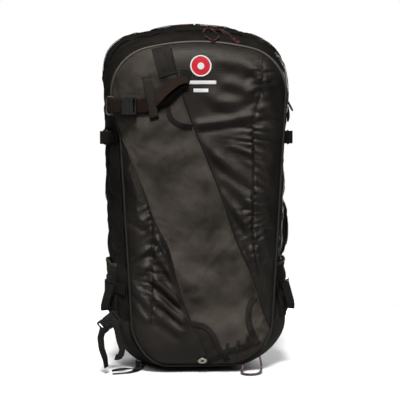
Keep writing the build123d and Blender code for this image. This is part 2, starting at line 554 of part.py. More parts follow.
def make_leg_strap():
    write("leg_buckle_female", LEG_BUCKLE * buckle_female(*LEG_BUCKLE_SIZE))
    write("leg_buckle_male", LEG_BUCKLE * buckle_male(15, *LEG_BUCKLE_SIZE[1:]))
    hang = ribbon(Plane(origin=(0, LEG_HANG_Y, 0), x_dir=(1, 0, 0), z_dir=(0, -1, 0)),
                  [(-180, 74), (-184, 56), (-172, 28), (-150, 0.9), (-124, 0.9)], WEBBING, 18, [10, 20, 16])
    floor = plate(Plane.XY, [(-123.8, LEG_HANG_Y - 9), (-108, LEG_HANG_Y - 9), (-97, -20), (-94, 60),
                             (-84, 110), (-103, 112), (-112, 60), (-116, -20),
                             (-123.8, LEG_HANG_Y + 9)], WEBBING)
    root = LEG_BUCKLE * Pos(-31, 0, 0) * Box(9, 18, WEBBING) - body(0.1)
    write("leg_strap_webbing", hang, floor, root)


def slider(plane):
    """Zip slider in its own frame: x along the zip, z off the surface."""
    base = plane * Pos(0, 0, 1.6) * Box(12, 9, 3.2)
    bridge = plane * Pos(0, 0, 4.4) * (Box(8, 2.4, 2.6) - Pos(0, 0, -0.6) * Box(4.6, 4, 1.5))
    return fillet(base.edges().filter_by(Axis(plane.origin, plane.z_dir)), 2) + bridge


def crown_plane(x, y, z_top, off):
    """On the crown at x: local x along the zip towards +X, local z outward."""
    angle = asin(x / TOP_RADIUS)
    out = Vector(sin(angle), 0, cos(angle))
    origin = Vector(0, y, z_top - TOP_RADIUS) + out * (TOP_RADIUS + off)
    return Plane(origin=origin, x_dir=(cos(angle), 0, -sin(angle)), z_dir=out)


def side_plane_at(y, z, off):
    """On the right side: local x along the zip upwards, local z outward."""
    lean = Vector(side_x(y, z + 20) - side_x(y, z), 0, 20)
    out = Vector(20, 0, -lean.X).normalized()
    return Plane(origin=Vector(side_x(y, z), y, z) + out * off, x_dir=lean, z_dir=out)


def make_sliders():
    for name, x in zip(("left", "right"), MAIN_SLIDERS_X):
        write(f"main_slider_{name}", slider(crown_plane(x, MID_ZIP_Y, ZIP_MID_Z, 1.6)))
    write("airbag_slider", slider(crown_plane(AIRBAG_SLIDER_X, COVER_ZIP_Y, COVER_ZIP_TOP, 2.4)))
    for name, y, z in zip(("front", "back"), SIDE_ZIPS, SIDE_SLIDERS_Z):
        write(f"side_slider_{name}", slider(side_plane_at(y, z, 1.7)))


# Cord loops of the zip pulls and the ice axe loop, each a list of points chosen by hand.
PULLS = {
    "main_pull_left": [(18.5, -31.8, 616), (12, -43, 612.5), (9, -57, 606.5), (11, -72, 600.5), (16, -86, 597),
                       (24, -95, 591), (33, -87, 596), (37, -72, 599), (34, -57, 605), (29, -43, 611.5),
                       (23, -31.8, 616)],
    "main_pull_right": [(41, -31.8, 614), (45, -44, 609), (52, -58, 602.5), (59, -73, 595.5), (66, -86, 590),
                        (72, -90, 587), (71, -82, 590.5), (64, -69, 596.5), (57, -56, 603), (50, -44, 608.5),
                        (45.5, -31.8, 613.5)],
    "airbag_pull": [(0, 70, 627.2), (-10, 66, 626.5), (-22, 64, 625), (-33, 66, 624.2), (-40, 73, 624.3),
                    (-34, 81, 625.3), (-22, 83, 626.6), (-10, 79, 627), (0, 74.5, 627.4)],
    "side_pull_front": [(169.4, 0, 475.5), (171, -5, 466), (171, -7, 456), (170, -2, 448), (170, 6, 448),
                        (171, 11, 456), (171, 9, 466), (169.4, 4.2, 475.5)],
    "side_pull_back": [(171.4, 38, 489.5), (175.5, 35.5, 482), (180, 35, 474), (183.5, 38, 467),
                       (183.5, 43, 467), (180, 46, 474), (175.5, 45, 482), (171.4, 42.3, 489.5)],
}
ICE_AXE_LOOP = [(81, -80, 14.5), (80, -93, 11), (77, -106, 5), (79, -118, 3), (89, -127, 2.8), (102, -126, 2.8),
                (111, -117, 4), (113, -104, 11), (112, -91, 21), (109, -80, 31)]


def make_cords():
    for name, points in PULLS.items():
        write(name, route(points, CORD_D))
    write("ice_axe_loop", route(ICE_AXE_LOOP, LOOP_CORD_D))


def make_side_pockets():
    """Open-topped stretch pocket low on each side, standing off the gusset."""
    room = block((100, HUGE), (-56, 56), (BOOT_TOP + 6, 400))
    edge = block((100, HUGE), (-60, 60), (BOOT_TOP + 2, 192))
    pocket = (skin(0.02, POCKET_OUT) & edge) - (skin(0.0, POCKET_OUT - 1.2) & room)
    write("side_pockets", pocket, mirrored(pocket))


make_bag()
make_piping()
make_zip_tracks()
make_shoulder_straps()
make_compression_straps()
make_sternum_strap()
make_hip_belt()
make_back_pads()
make_haul_loop()
make_airbag_system()
make_frame()
make_ski_straps()
make_leg_strap()
make_sliders()
make_cords()
make_side_pockets()
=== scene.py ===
"""Looks of an avalanche airbag backpack, built round its CAD frame. Metres, +Z up, front towards -Y."""

from math import asin, cos, pi, radians, sin, tau

import bmesh
import bpy
import numpy as np
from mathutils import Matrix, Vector
from mathutils.bvhtree import BVHTree


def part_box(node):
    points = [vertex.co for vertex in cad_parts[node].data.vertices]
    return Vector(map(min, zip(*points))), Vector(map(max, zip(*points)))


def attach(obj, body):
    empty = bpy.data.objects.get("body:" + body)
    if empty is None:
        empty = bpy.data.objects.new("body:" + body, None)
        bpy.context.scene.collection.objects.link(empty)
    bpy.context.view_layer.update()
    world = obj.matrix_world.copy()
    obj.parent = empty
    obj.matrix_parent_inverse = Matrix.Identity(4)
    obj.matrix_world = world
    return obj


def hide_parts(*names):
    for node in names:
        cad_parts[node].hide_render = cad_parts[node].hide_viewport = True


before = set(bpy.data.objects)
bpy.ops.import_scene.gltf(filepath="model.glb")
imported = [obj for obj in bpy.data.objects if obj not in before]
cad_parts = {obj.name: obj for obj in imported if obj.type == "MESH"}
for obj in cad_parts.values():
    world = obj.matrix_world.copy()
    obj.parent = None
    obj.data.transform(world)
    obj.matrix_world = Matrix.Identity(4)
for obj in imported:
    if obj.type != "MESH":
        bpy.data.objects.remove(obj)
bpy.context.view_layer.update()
MM = 0.001

# ---------------------------------------------------------------- driving dimensions, in millimetres
TOP_RADIUS = 390.0
TOP_SHARE = 0.6
PANEL_Y = -88.0
COVER_Y = 52.0
BACK_Y = 99.0
BOOT_TOP = 92.0
ZIP_Y = (-33.0, -17.0)
WEBBING = 1.6
STITCH_INSET = 1.6  # stitches from the edge of webbing sewn flat
RAY = 400.0  # how far off the bag a ray starts
MIDDLE = (0.0, 300.0)  # middle of the outline in the front view

# depth, half width at the shoulders, top height, half width and radius of the base corner, base height
SECTIONS = np.array([
    (100.0, 158.0, 612.0, 146.0, 86.0, 6.0),
    (85.0, 167.0, 622.0, 153.0, 93.0, 0.0),
    (-17.0, 164.0, 611.0, 150.0, 90.0, 0.0),
    (-33.0, 164.0, 611.0, 150.0, 90.0, 0.0),
    (-88.0, 154.0, 589.0, 131.0, 79.0, 14.0),
])

# The front panel's two long seams seen from the front, from top to bottom, (x, z)
RIGHT_SEAM = [(-50, 587.5), (-43, 542), (-26, 481), (-5, 425), (19, 367), (42, 306), (62, 245), (86, 193),
              (103, 146), (115, 108), (128.5, 76)]
LEFT_SEAM = [(-141.2, 428), (-128, 402), (-114, 364), (-97, 324), (-86, 290), (-72, 258), (-57, 230),
             (-45, 186), (-32, 138), (-13, 90), (2, 60), (9, 38), (14, 14.3)]


# ---------------------------------------------------------------- mesh helpers
def linked(name, data):
    obj = bpy.data.objects.new(name, data)
    bpy.context.scene.collection.objects.link(obj)
    return obj


def new_object(name, verts, faces, smooth=True):
    mesh = bpy.data.meshes.new(name)
    mesh.from_pydata([tuple(v) for v in verts], [], [tuple(f) for f in faces])
    if smooth:
        mesh.polygons.foreach_set("use_smooth", [True] * len(mesh.polygons))
    mesh.update()
    return linked(name, mesh)


def set_uv(obj, uv):
    """Gives each corner the UV of its vertex. UVs are in metres, so that a weave keeps its real size."""
    layer = obj.data.uv_layers.new(name="UVMap")
    index = np.zeros(len(obj.data.loops), int)
    obj.data.loops.foreach_get("vertex_index", index)
    layer.data.foreach_set("uv", np.asarray(uv, np.float32)[index].ravel())
    return obj


def lattice(rows, cols, wrap=False, closed=False):
    """Numbers of a grid of vertices, and its quads. Columns may wrap round, and rows may close up."""
    idx = np.arange(rows * cols).reshape(rows, cols)
    if wrap:
        idx = np.concatenate([idx, idx[:, :1]], axis=1)
    if closed:
        idx = np.concatenate([idx, idx[:1]], axis=0)
    return idx, np.stack([idx[:-1, :-1], idx[:-1, 1:], idx[1:, 1:], idx[1:, :-1]], -1).reshape(-1, 4)


def places(obj):
    """An object's vertices, in metres."""
    return np.array([v.co for v in obj.data.vertices])


def lengths(line):
    """Distance along a line at each of its points."""
    return np.r_[0, np.cumsum(np.linalg.norm(np.diff(line, axis=0), axis=1))]


def grid(name, points, uv=None, wrap=False):
    """A sheet of quads from rows x columns points, in metres."""
    _, faces = lattice(*points.shape[:2], wrap)
    obj = new_object(name, points.reshape(-1, 3), faces)
    if uv is not None:
        set_uv(obj, uv.reshape(-1, 2))
    return obj


def turns(count):
    """Angles evenly round a circle."""
    return np.arange(count) * tau / count


def unit(v):
    v = np.asarray(v, float)
    return v / np.maximum(np.linalg.norm(v, axis=-1, keepdims=True), 1e-12)


def resample(points, count):
    """count points evenly spaced along a line of points of any dimension."""
    p = np.asarray(points, float)
    step = lengths(p)
    at = np.linspace(0, step[-1], count)
    return np.stack([np.interp(at, step, p[:, k]) for k in range(p.shape[1])], 1)


def smooth_line(points, count):
    """A soft curve through given points, evenly resampled."""
    p = np.asarray(points, float)
    ends = np.vstack([2 * p[0] - p[1], p, 2 * p[-1] - p[-2]])
    t = np.linspace(0, 1, 12, endpoint=False)[:, None]
    parts = []
    for a, b, c, d in zip(ends, ends[1:], ends[2:], ends[3:]):
        parts.append(0.5 * (2 * b + (c - a) * t + (2 * a - 5 * b + 4 * c - d) * t**2
                            + (3 * b - a - 3 * c + d) * t**3))
    return resample(np.vstack(parts + [p[-1:]]), count)


def apply_modifiers(obj):
    """Replaces an object's mesh with what its modifiers make."""
    dg = bpy.context.evaluated_depsgraph_get()
    mesh = bpy.data.meshes.new_from_object(obj.evaluated_get(dg))
    obj.modifiers.clear()
    obj.data = mesh
    return obj


def join(name, parts):
    """Joins objects into one piece; the parts' materials stay on their faces."""
    bpy.ops.object.select_all(action="DESELECT")
    for part in parts:
        part.select_set(True)
    bpy.context.view_layer.objects.active = parts[0]
    if len(parts) > 1:
        bpy.ops.object.join()
    parts[0].name = name
    parts[0].data.name = name
    return parts[0]


def paint(obj, material):
    obj.data.materials.clear()
    obj.data.materials.append(material)
    return obj


def finish_piece(obj, body, slot, *nodes):
    """Rides on a body and stands for CAD nodes; its slot is not used."""
    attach(obj, body)
    if nodes:
        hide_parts(*nodes)
    return obj


# ---------------------------------------------------------------- materials
class Nodes:
    """A short way to wire a Principled material."""

    def __init__(self, name, colour, roughness, **sockets):
        self.material = bpy.data.materials.new(name)
        self.material.use_nodes = True
        self.tree = self.material.node_tree
        self.shader = self.tree.nodes["Principled BSDF"]
        self.shader.inputs["Base Color"].default_value = (*colour, 1)
        self.shader.inputs["Roughness"].default_value = roughness
        for key, value in sockets.items():
            self.shader.inputs[key.replace("_", " ")].default_value = value
        self.material.diffuse_color = (*colour, 1)

    def add(self, kind, **values):
        node = self.tree.nodes.new("ShaderNode" + kind)
        for key, value in values.items():
            if hasattr(node, key):
                setattr(node, key, value)
            else:
                node.inputs[key.replace("_", " ")].default_value = value
        return node

    def link(self, source, target):
        self.tree.links.new(source, target)
        return target.node

    def maths(self, operation, a, b):
        node = self.add("Math", operation=operation)
        for socket, value in zip(node.inputs, (a, b)):
            if isinstance(value, (int, float)):
                socket.default_value = value
            else:
                self.link(value, socket)
        return node.outputs[0]

    def coordinates(self, space="UV", scale=(1, 1, 1), turn=0.0):
        source = self.add("TexCoord").outputs[space]
        mapping = self.add("Mapping")
        mapping.inputs["Scale"].default_value = scale
        mapping.inputs["Rotation"].default_value = (0, 0, turn)
        self.link(source, mapping.inputs["Vector"])
        return mapping.outputs["Vector"]

    def noise(self, vector, scale, detail=3.0, roughness=0.55):
        node = self.add("TexNoise", Scale=scale, Detail=detail, Roughness=roughness)
        self.link(vector, node.inputs["Vector"])
        return node.outputs["Fac"]

    def wave(self, vector, scale, direction="X", kind="BANDS", profile="SIN", distortion=0.0):
        node = self.add("TexWave", wave_type=kind, bands_direction=direction, wave_profile=profile,
                        Scale=scale, Distortion=distortion)
        self.link(vector, node.inputs["Vector"])
        return node.outputs["Fac"]

    def ramp(self, value, low, high, dark, light):
        """Colour from dark to light as a value goes from low to high."""
        node = self.add("ValToRGB")
        node.color_ramp.elements[0].position = low
        node.color_ramp.elements[1].position = high
        node.color_ramp.elements[0].color = (*dark, 1)
        node.color_ramp.elements[1].color = (*light, 1)
        self.link(value, node.inputs["Fac"])
        return node.outputs["Color"]

    def spread(self, value, low, high):
        """Number from low to high as a value goes from 0 to 1."""
        node = self.add("MapRange")
        node.inputs["To Min"].default_value = low
        node.inputs["To Max"].default_value = high
        self.link(value, node.inputs["Value"])
        return node.outputs["Result"]

    def bump(self, height, distance, strength=1.0, below=None):
        node = self.add("Bump", Distance=distance, Strength=strength)
        self.link(height, node.inputs["Height"])
        if below is not None:
            self.link(below, node.inputs["Normal"])
        return node.outputs["Normal"]

    def finish(self, colour, normal=None, roughness=None):
        """Wires what the shader takes, and gives the material."""
        for name, source in (("Base Color", colour), ("Roughness", roughness), ("Normal", normal)):
            if source is not None:
                self.link(source, self.shader.inputs[name])
        return self.material


WARM = (1.0, 0.9, 0.8, 1.0)


def wave_scale(pitch):
    """Wave texture scale for bands of a pitch in metres, on UVs in metres."""
    return tau / (20 * pitch)


def woven(name, dark, light, roughness, yarn, depth, mottle=14.0, sheen=0.02, grid_pitch=0.0, gloss=0.25):
    """Woven cloth: yarns both ways and uneven dye, with an optional ripstop grid."""
    n = Nodes(name, light, roughness[1], Sheen_Weight=sheen, Sheen_Roughness=0.45, Specular_IOR_Level=gloss,
              Specular_Tint=WARM)
    uv = n.coordinates()
    warp = n.wave(uv, wave_scale(yarn), "X")
    weft = n.wave(uv, wave_scale(yarn), "Y")
    yarns = n.maths("MAXIMUM", warp, weft)
    patchy = n.noise(n.coordinates("Object"), mottle, 5.0, 0.6)
    fibre = n.noise(uv, 1400.0, 2.0)
    tone = n.maths("ADD", n.maths("MULTIPLY", patchy, 0.75), n.maths("MULTIPLY", fibre, 0.25))
    colour = n.ramp(tone, 0.36, 0.66, dark, light)
    height = n.maths("ADD", yarns, n.maths("MULTIPLY", fibre, 0.4))
    if grid_pitch:
        lines = [n.wave(uv, wave_scale(grid_pitch), direction) for direction in "XY"]
        ridge = n.maths("POWER", n.maths("MAXIMUM", *lines), 30.0)
        height = n.maths("ADD", height, n.maths("MULTIPLY", ridge, 1.6))
    soft = n.bump(n.noise(n.coordinates("Object"), 60.0, 4.0), 0.0012, 0.35)
    return n.finish(colour, n.bump(height, depth, 0.8, soft), n.spread(patchy, *roughness))


def webbing_material(name, dark, light, rib=0.0011):
    """Ribbed webbing: ribs across the tape and yarns along it."""
    n = Nodes(name, light, 0.6, Specular_IOR_Level=0.16, Specular_Tint=WARM)
    uv = n.coordinates()
    ribs = n.wave(uv, wave_scale(rib), "Y")
    along = n.wave(uv, wave_scale(rib * 1.6), "X")
    cross = n.maths("MULTIPLY", ribs, n.spread(along, 0.55, 1.0))
    fibre = n.noise(uv, 900.0, 3.0)
    tone = n.maths("ADD", n.maths("MULTIPLY", cross, 0.6), n.maths("MULTIPLY", fibre, 0.4))
    colour = n.ramp(tone, 0.2, 0.85, dark, light)
    return n.finish(colour, n.bump(cross, 0.0004, 0.9), n.spread(fibre, 0.5, 0.75))


def plastic(name, colour, roughness, grain=900.0, light=None):
    """Moulded plastic with a fine grain, faint scuffs and a lighter worn tone in places."""
    n = Nodes(name, colour, roughness, Specular_IOR_Level=0.5)
    space = n.coordinates("Object")
    scuff = n.noise(space, 90.0, 6.0, 0.7)
    worn = light or tuple(min(1.0, c * 1.8 + 0.01) for c in colour)
    return n.finish(n.ramp(scuff, 0.45, 0.8, colour, worn), n.bump(n.noise(space, grain, 2.0), 0.00012, 0.5),
                    n.spread(scuff, roughness - 0.08, roughness + 0.16))


def metal(name, colour, roughness, metallic=1.0):
    """Metal with fine brushing and handling marks."""
    n = Nodes(name, colour, roughness, Metallic=metallic)
    space = n.coordinates("Object", (1, 1, 9))
    brushed = n.noise(space, 300.0, 4.0, 0.7)
    dull = tuple(c * 0.75 for c in colour)
    return n.finish(n.ramp(brushed, 0.3, 0.8, dull, colour), n.bump(brushed, 0.0001, 0.4),
                    n.spread(brushed, roughness - 0.1, roughness + 0.15))


def spacer_mesh(name, dark, light):
    """Air mesh: rows of small round holes in a knitted face."""
    n = Nodes(name, light, 0.85, Sheen_Weight=0.05, Sheen_Roughness=0.5, Specular_IOR_Level=0.2)
    uv = n.coordinates(scale=(1, 0.7, 1))
    cells = n.add("TexVoronoi", Scale=330.0, Randomness=0.25)
    n.link(uv, cells.inputs["Vector"])
    holes = cells.outputs["Distance"]
    knit = n.maths("SUBTRACT", 1.0, holes)
    return n.finish(n.ramp(holes, 0.25, 0.5, light, dark), n.bump(knit, 0.0011, 0.9))


def piping_with_painted_highlight(low, high):
    """Bound piping, dark at the sides and pale over the crown: a painted highlight where light from above
    falls.
    """
    n = Nodes("bound piping", low, 0.5, Specular_IOR_Level=0.3, Specular_Tint=WARM)
    axes = n.add("SeparateXYZ")
    n.link(n.coordinates("Object"), axes.inputs["Vector"])
    uneven = n.noise(n.coordinates("Object"), 30.0)
    # painted highlight: the colour pales towards the top of the bag, where light from above falls
    painted_highlight = n.maths("ADD", axes.outputs["Z"], n.maths("MULTIPLY", uneven, 0.08))
    weave = n.wave(n.coordinates(), wave_scale(0.0006), "Y")
    return n.finish(n.ramp(painted_highlight, 0.52, 0.66, low, high), n.bump(weave, 0.0002, 0.6))


def flecked_cord(name, ground, fleck, share=0.5, strand=0.0013):
    """Braided cord: crossing strands, some of them in a second colour."""
    n = Nodes(name, ground, 0.7, Sheen_Weight=0.05, Sheen_Roughness=0.5, Specular_IOR_Level=0.3)
    left = n.wave(n.coordinates(turn=0.85), wave_scale(strand), "X")
    right = n.wave(n.coordinates(turn=-0.85), wave_scale(strand), "X")
    braid = n.maths("MAXIMUM", left, right)
    pick = n.noise(n.coordinates(scale=(1, 0.8, 1)), 260.0, 1.0)
    return n.finish(n.ramp(pick, share - 0.03, share + 0.03, ground, fleck), n.bump(braid, 0.0005, 0.9))


NYLON = woven("shell nylon", (0.004, 0.0034, 0.003), (0.0145, 0.0125, 0.011), (0.36, 0.5), 0.00045, 0.0001,
              grid_pitch=0.0052, sheen=0.0, gloss=0.42)
GUSSET = woven("gusset nylon", (0.0034, 0.0029, 0.0024), (0.0125, 0.0107, 0.009), (0.45, 0.6), 0.00045,
               0.00012, grid_pitch=0.0052, sheen=0.0, gloss=0.17)
HEAVY = woven("heavy fabric", (0.009, 0.0074, 0.0062), (0.087, 0.0745, 0.063), (0.6, 0.8), 0.0008, 0.0003,
              mottle=9.0, sheen=0.0, gloss=0.2)
BOOT = woven("boot fabric", (0.006, 0.0054, 0.0048), (0.026, 0.0235, 0.021), (0.55, 0.75), 0.0009, 0.0004,
             sheen=0.0, gloss=0.2)
STRETCH = woven("stretch fabric", (0.004, 0.0036, 0.0032), (0.017, 0.0155, 0.0135), (0.7, 0.85), 0.0007,
                0.0003, sheen=0.02, gloss=0.15)
PIPING = piping_with_painted_highlight((0.012, 0.011, 0.01), (0.13, 0.12, 0.105))
WEB = webbing_material("webbing", (0.0035, 0.0033, 0.0031), (0.015, 0.014, 0.013))
LOOP_WEB = webbing_material("loop webbing", (0.006, 0.0052, 0.0046), (0.034, 0.0295, 0.026))
BROWN_WEB = webbing_material("brown webbing", (0.006, 0.003, 0.0022), (0.03, 0.0145, 0.0105))
TAPE = webbing_material("zip tape", (0.0025, 0.0025, 0.0024), (0.008, 0.008, 0.0075), 0.0008)
THREAD = woven("thread", (0.02, 0.02, 0.02), (0.05, 0.05, 0.05), (0.5, 0.6), 0.0004, 0.0001)
PLASTIC = plastic("acetal", (0.006, 0.006, 0.006), 0.32)
TEETH = plastic("zip coil", (0.002, 0.002, 0.002), 0.7)
FRAME_BAR = plastic("strap frame", (0.04, 0.038, 0.034), 0.4)
SLIDER = metal("slider enamel", (0.02, 0.02, 0.022), 0.3, 0.6)
MESH = spacer_mesh("spacer mesh", (0.003, 0.003, 0.003), (0.03, 0.03, 0.031))
RED_CORD = flecked_cord("flecked cord", (0.006, 0.005, 0.005), (0.26, 0.02, 0.03), 0.56)
AXE_CORD = flecked_cord("axe cord", (0.03, 0.018, 0.019), (0.2, 0.12, 0.125), 0.52)


# ---------------------------------------------------------------- the bag's surface
def section_at(y):
    """The five outline sizes at a depth, in millimetres."""
    order = np.argsort(SECTIONS[:, 0])
    table = SECTIONS[order]
    return [float(np.interp(y, table[:, 0], table[:, k])) for k in range(1, 6)]


FOOT, CORNER, SIDE, SHOULDER, CROWN = 14, 22, 78, 20, 22  # mesh steps along half of the outline


def half_outline(sizes, grow=0.0):
    """Right half of the outline from the middle of the base to the middle of the crown, (x, z)."""
    half_top, z_top, half_low, r_low, z_low = sizes
    flat = half_low - r_low
    lean = asin(half_top * TOP_SHARE / TOP_RADIUS)
    r_shoulder = half_top * (1 - TOP_SHARE) / (1 - sin(lean))
    hub = ((TOP_RADIUS - r_shoulder) * sin(lean), z_top - TOP_RADIUS + (TOP_RADIUS - r_shoulder) * cos(lean))
    r_low += grow
    r_shoulder += grow
    r_top = TOP_RADIUS + grow
    corner_z = z_low + r_low - grow
    points = [(flat * k / FOOT, z_low - grow) for k in range(FOOT)]
    for k in range(CORNER):
        a = -pi / 2 + pi / 2 * k / CORNER
        points.append((flat + r_low * cos(a), corner_z + r_low * sin(a)))
    for k in range(SIDE):
        t = k / SIDE
        x = flat + r_low + (hub[0] + r_shoulder - flat - r_low) * t
        points.append((x, corner_z + (hub[1] - corner_z) * t))
    for k in range(SHOULDER):
        a = (pi / 2 - lean) * k / SHOULDER
        points.append((hub[0] + r_shoulder * cos(a), hub[1] + r_shoulder * sin(a)))
    for k in range(CROWN + 1):
        a = pi / 2 - lean + lean * k / CROWN
        points.append((r_top * cos(a), z_top - TOP_RADIUS + r_top * sin(a)))
    return np.array(points)


def full_outline(sizes, grow=0.0):
    """The whole outline, from the middle of the base round by +X, in millimetres."""
    right = half_outline(sizes, grow)
    left = right[1:-1][::-1] * (-1, 1)
    return np.vstack([right, left])


SET_IN = 11.5  # how far the front panel's left edge stands in from the even outline, mm


def outline_at(y, grow=0.0):
    """The whole outline at a depth; at the front its left side is set in, where the gusset wraps forward."""
    points = full_outline(section_at(y), grow)
    x, z = points.T
    left = np.clip((-x - 60) / 60, 0, 1)
    below = np.clip((468 - z) / 50, 0, 1)
    front = np.clip((-58 - y) / 30, 0, 1)
    ease = front * left * below * below * (3 - 2 * below)
    return points + np.outer(ease, (SET_IN, 0))


PANEL_OUTLINE = outline_at(PANEL_Y)


def edge_distance(x, z):
    """Distance inside the front panel's outline, in millimetres."""
    a = PANEL_OUTLINE
    b = np.roll(a, -1, axis=0)
    p = np.stack([np.ravel(x), np.ravel(z)], 1)[:, None]
    ab = b - a
    t = np.clip(((p - a) * ab).sum(-1) / (ab**2).sum(-1), 0, 1)
    d = np.linalg.norm(p - (a + ab * t[..., None]), axis=-1).min(1)
    return d.reshape(np.shape(x))


def front_depth(x, z):
    """y of the front panel before its folds: rounded at the edge and slightly crowned."""
    d = edge_distance(x, z)
    return PANEL_Y - 22.5 * (1 - np.exp(-(d / 15.0) ** 1.15)) - 2.0 * np.sin(np.clip(d / 140, 0, 1) * pi / 2)


def outline_walk(start, stop, step):
    """Part of the panel's outline between the points nearest to two places, walking by step (+1 or -1)."""
    i = int(np.argmin(np.linalg.norm(PANEL_OUTLINE - start, axis=1)))
    j = int(np.argmin(np.linalg.norm(PANEL_OUTLINE - stop, axis=1)))
    n = len(PANEL_OUTLINE)
    count = (j - i) * step % n
    return PANEL_OUTLINE[[(i + step * k) % n for k in range(count + 1)]]


def tfi(top, bottom, left, right, rows, cols):
    """Grid filling four boundary lines: top and bottom run left to right, left and right run downwards."""
    c1, c2 = resample(top, cols), resample(bottom, cols)
    d1, d2 = resample(left, rows), resample(right, rows)
    s = np.linspace(0, 1, cols)[None, :, None]
    t = np.linspace(0, 1, rows)[:, None, None]
    blend_v = c1[None] * (1 - t) + c2[None] * t
    blend_h = d1[:, None] * (1 - s) + d2[:, None] * s
    corners = (c1[0] * (1 - s) * (1 - t) + c1[-1] * s * (1 - t) + c2[0] * (1 - s) * t + c2[-1] * s * t)
    return blend_v + blend_h - corners


def fold(x, z, start, end, width, height, taper=0.35):
    """One soft fold of cloth: a ridge along a line, fading at its ends, with a valley on its lower side."""
    a, b = np.array(start, float), np.array(end, float)
    d = b - a
    length = np.linalg.norm(d)
    d /= length
    along = ((x - a[0]) * d[0] + (z - a[1]) * d[1]) / length
    off = (x - a[0]) * -d[1] + (z - a[1]) * d[0]
    ends = np.clip(np.minimum(along + taper / 2, 1 + taper / 2 - along) / taper, 0, 1)
    ends = ends * ends * (3 - 2 * ends)
    s = off / width
    return height * ends * (np.exp(-s * s) - 0.55 * np.exp(-((s + 1.5) ** 2)))


def cloth(obj, pins, frames, shrink, pressure, bend=0.4, cap=9 * MM, stiffness=12):
    """Settles a sheet with its seams pinned and some cloth to spare, and writes the result to its mesh."""
    group = obj.vertex_groups.new(name="pin")
    group.add([int(i) for i in np.flatnonzero(pins)], 1.0, "REPLACE")
    before = places(obj)
    mod = obj.modifiers.new("Cloth", "CLOTH")
    settings = mod.settings
    settings.quality = 5
    settings.mass = 0.15
    settings.tension_stiffness = stiffness
    settings.compression_stiffness = stiffness
    settings.shear_stiffness = stiffness / 2
    settings.bending_stiffness = bend
    settings.tension_damping = 8
    settings.compression_damping = 8
    settings.air_damping = 2
    settings.vertex_group_mass = "pin"
    settings.shrink_min = shrink
    settings.use_pressure = True
    settings.uniform_pressure_force = pressure
    settings.effector_weights.gravity = 0
    mod.collision_settings.use_collision = False
    mod.point_cache.frame_start = 1
    mod.point_cache.frame_end = frames
    scene = bpy.context.scene
    for k in range(1, frames + 1):
        scene.frame_set(k)
    dg = bpy.context.evaluated_depsgraph_get()
    after = np.array([v.co for v in obj.evaluated_get(dg).data.vertices])
    obj.modifiers.remove(mod)
    scene.frame_set(1)
    move = after - before
    size = np.linalg.norm(move, axis=1, keepdims=True)
    move *= np.minimum(1, cap / np.maximum(size, 1e-9))
    obj.data.vertices.foreach_set("co", (before + move).astype(np.float32).ravel())
    obj.data.update()
    return obj


# ---------------------------------------------------------------- the front panel
TOP_SPLIT = (96.0, 571.0)  # where the right panel's patch turns from the crown to the side
LEFT_SPLIT = (-112.0, 566.0)
LOW_LEFT = (-88.0, 32.0)


FOLD_GAIN = 1.7  # how much higher the folds stand before the cloth settles


def front_mesh(name, xz, material, pucker_lines=(), folds=(), ease=-0.03, pressure=0.6, frames=16):
    """One panel of the front: laid on the crowned surface, folded, and settled as cloth between its seams."""
    x, z = xz[..., 0], xz[..., 1]
    y = front_depth(x, z)
    rows, cols = x.shape
    rim = np.minimum.outer(np.minimum(np.arange(rows), np.arange(rows)[::-1]),
                           np.minimum(np.arange(cols), np.arange(cols)[::-1]))
    inner = np.clip(rim / 4.0, 0, 1)
    lift = np.zeros_like(x)
    for one in folds:
        lift += FOLD_GAIN * fold(x, z, *one)
    points = np.stack([x, y - lift * inner, z], -1) * MM
    obj = grid(name, points, uv=xz * MM)
    cloth(obj, (rim == 0).ravel(), frames, ease, pressure)
    co = places(obj)
    for line, reach, height, pitch in pucker_lines:
        co[:, 1] -= (puckers(x, z, line, reach, height, pitch) * inner).ravel() * MM
    obj.data.vertices.foreach_set("co", co.astype(np.float32).ravel())
    obj.data.update()
    return paint(obj, material)


SEAM_STATIONS = 160


def puckers(x, z, line, reach, height, pitch):
    """Gathers along a ruched seam: a groove on the seam with short uneven folds running out of it."""
    p = smooth_line(line, SEAM_STATIONS)
    last = SEAM_STATIONS - 1
    d = np.linalg.norm(np.stack([x, z], -1)[..., None, :] - p, axis=-1)
    near = d.argmin(-1)
    dist = d.min(-1)
    side = np.sign(x - p[near, 0])
    along = near / last * lengths(p)[-1]
    phase = along / pitch + 0.9 * np.sin(along / 23.0) + side * 0.8
    slant = phase + dist / 26.0 * side * np.sin(along / 41.0)
    gathers = np.abs(np.sin(slant * pi)) ** 0.8 * np.exp(-(dist / reach) ** 1.3)
    size = 0.7 + 0.3 * np.sin(along / 17.0 + side)
    groove = 1.6 * np.exp(-(dist / 2.6) ** 2)
    ends = np.clip(np.minimum(near, last - near) / 14.0, 0, 1)
    return ends * (height * size * gathers - groove)


RUCHED_RIGHT = [(112, 562), (105, 498), (94, 438), (96, 366), (94, 294), (96, 230), (104, 176)]
RUCHED_LEFT = [(-95, 318), (-84, 278), (-82, 232), (-84, 186), (-83, 132), (-88, 92)]

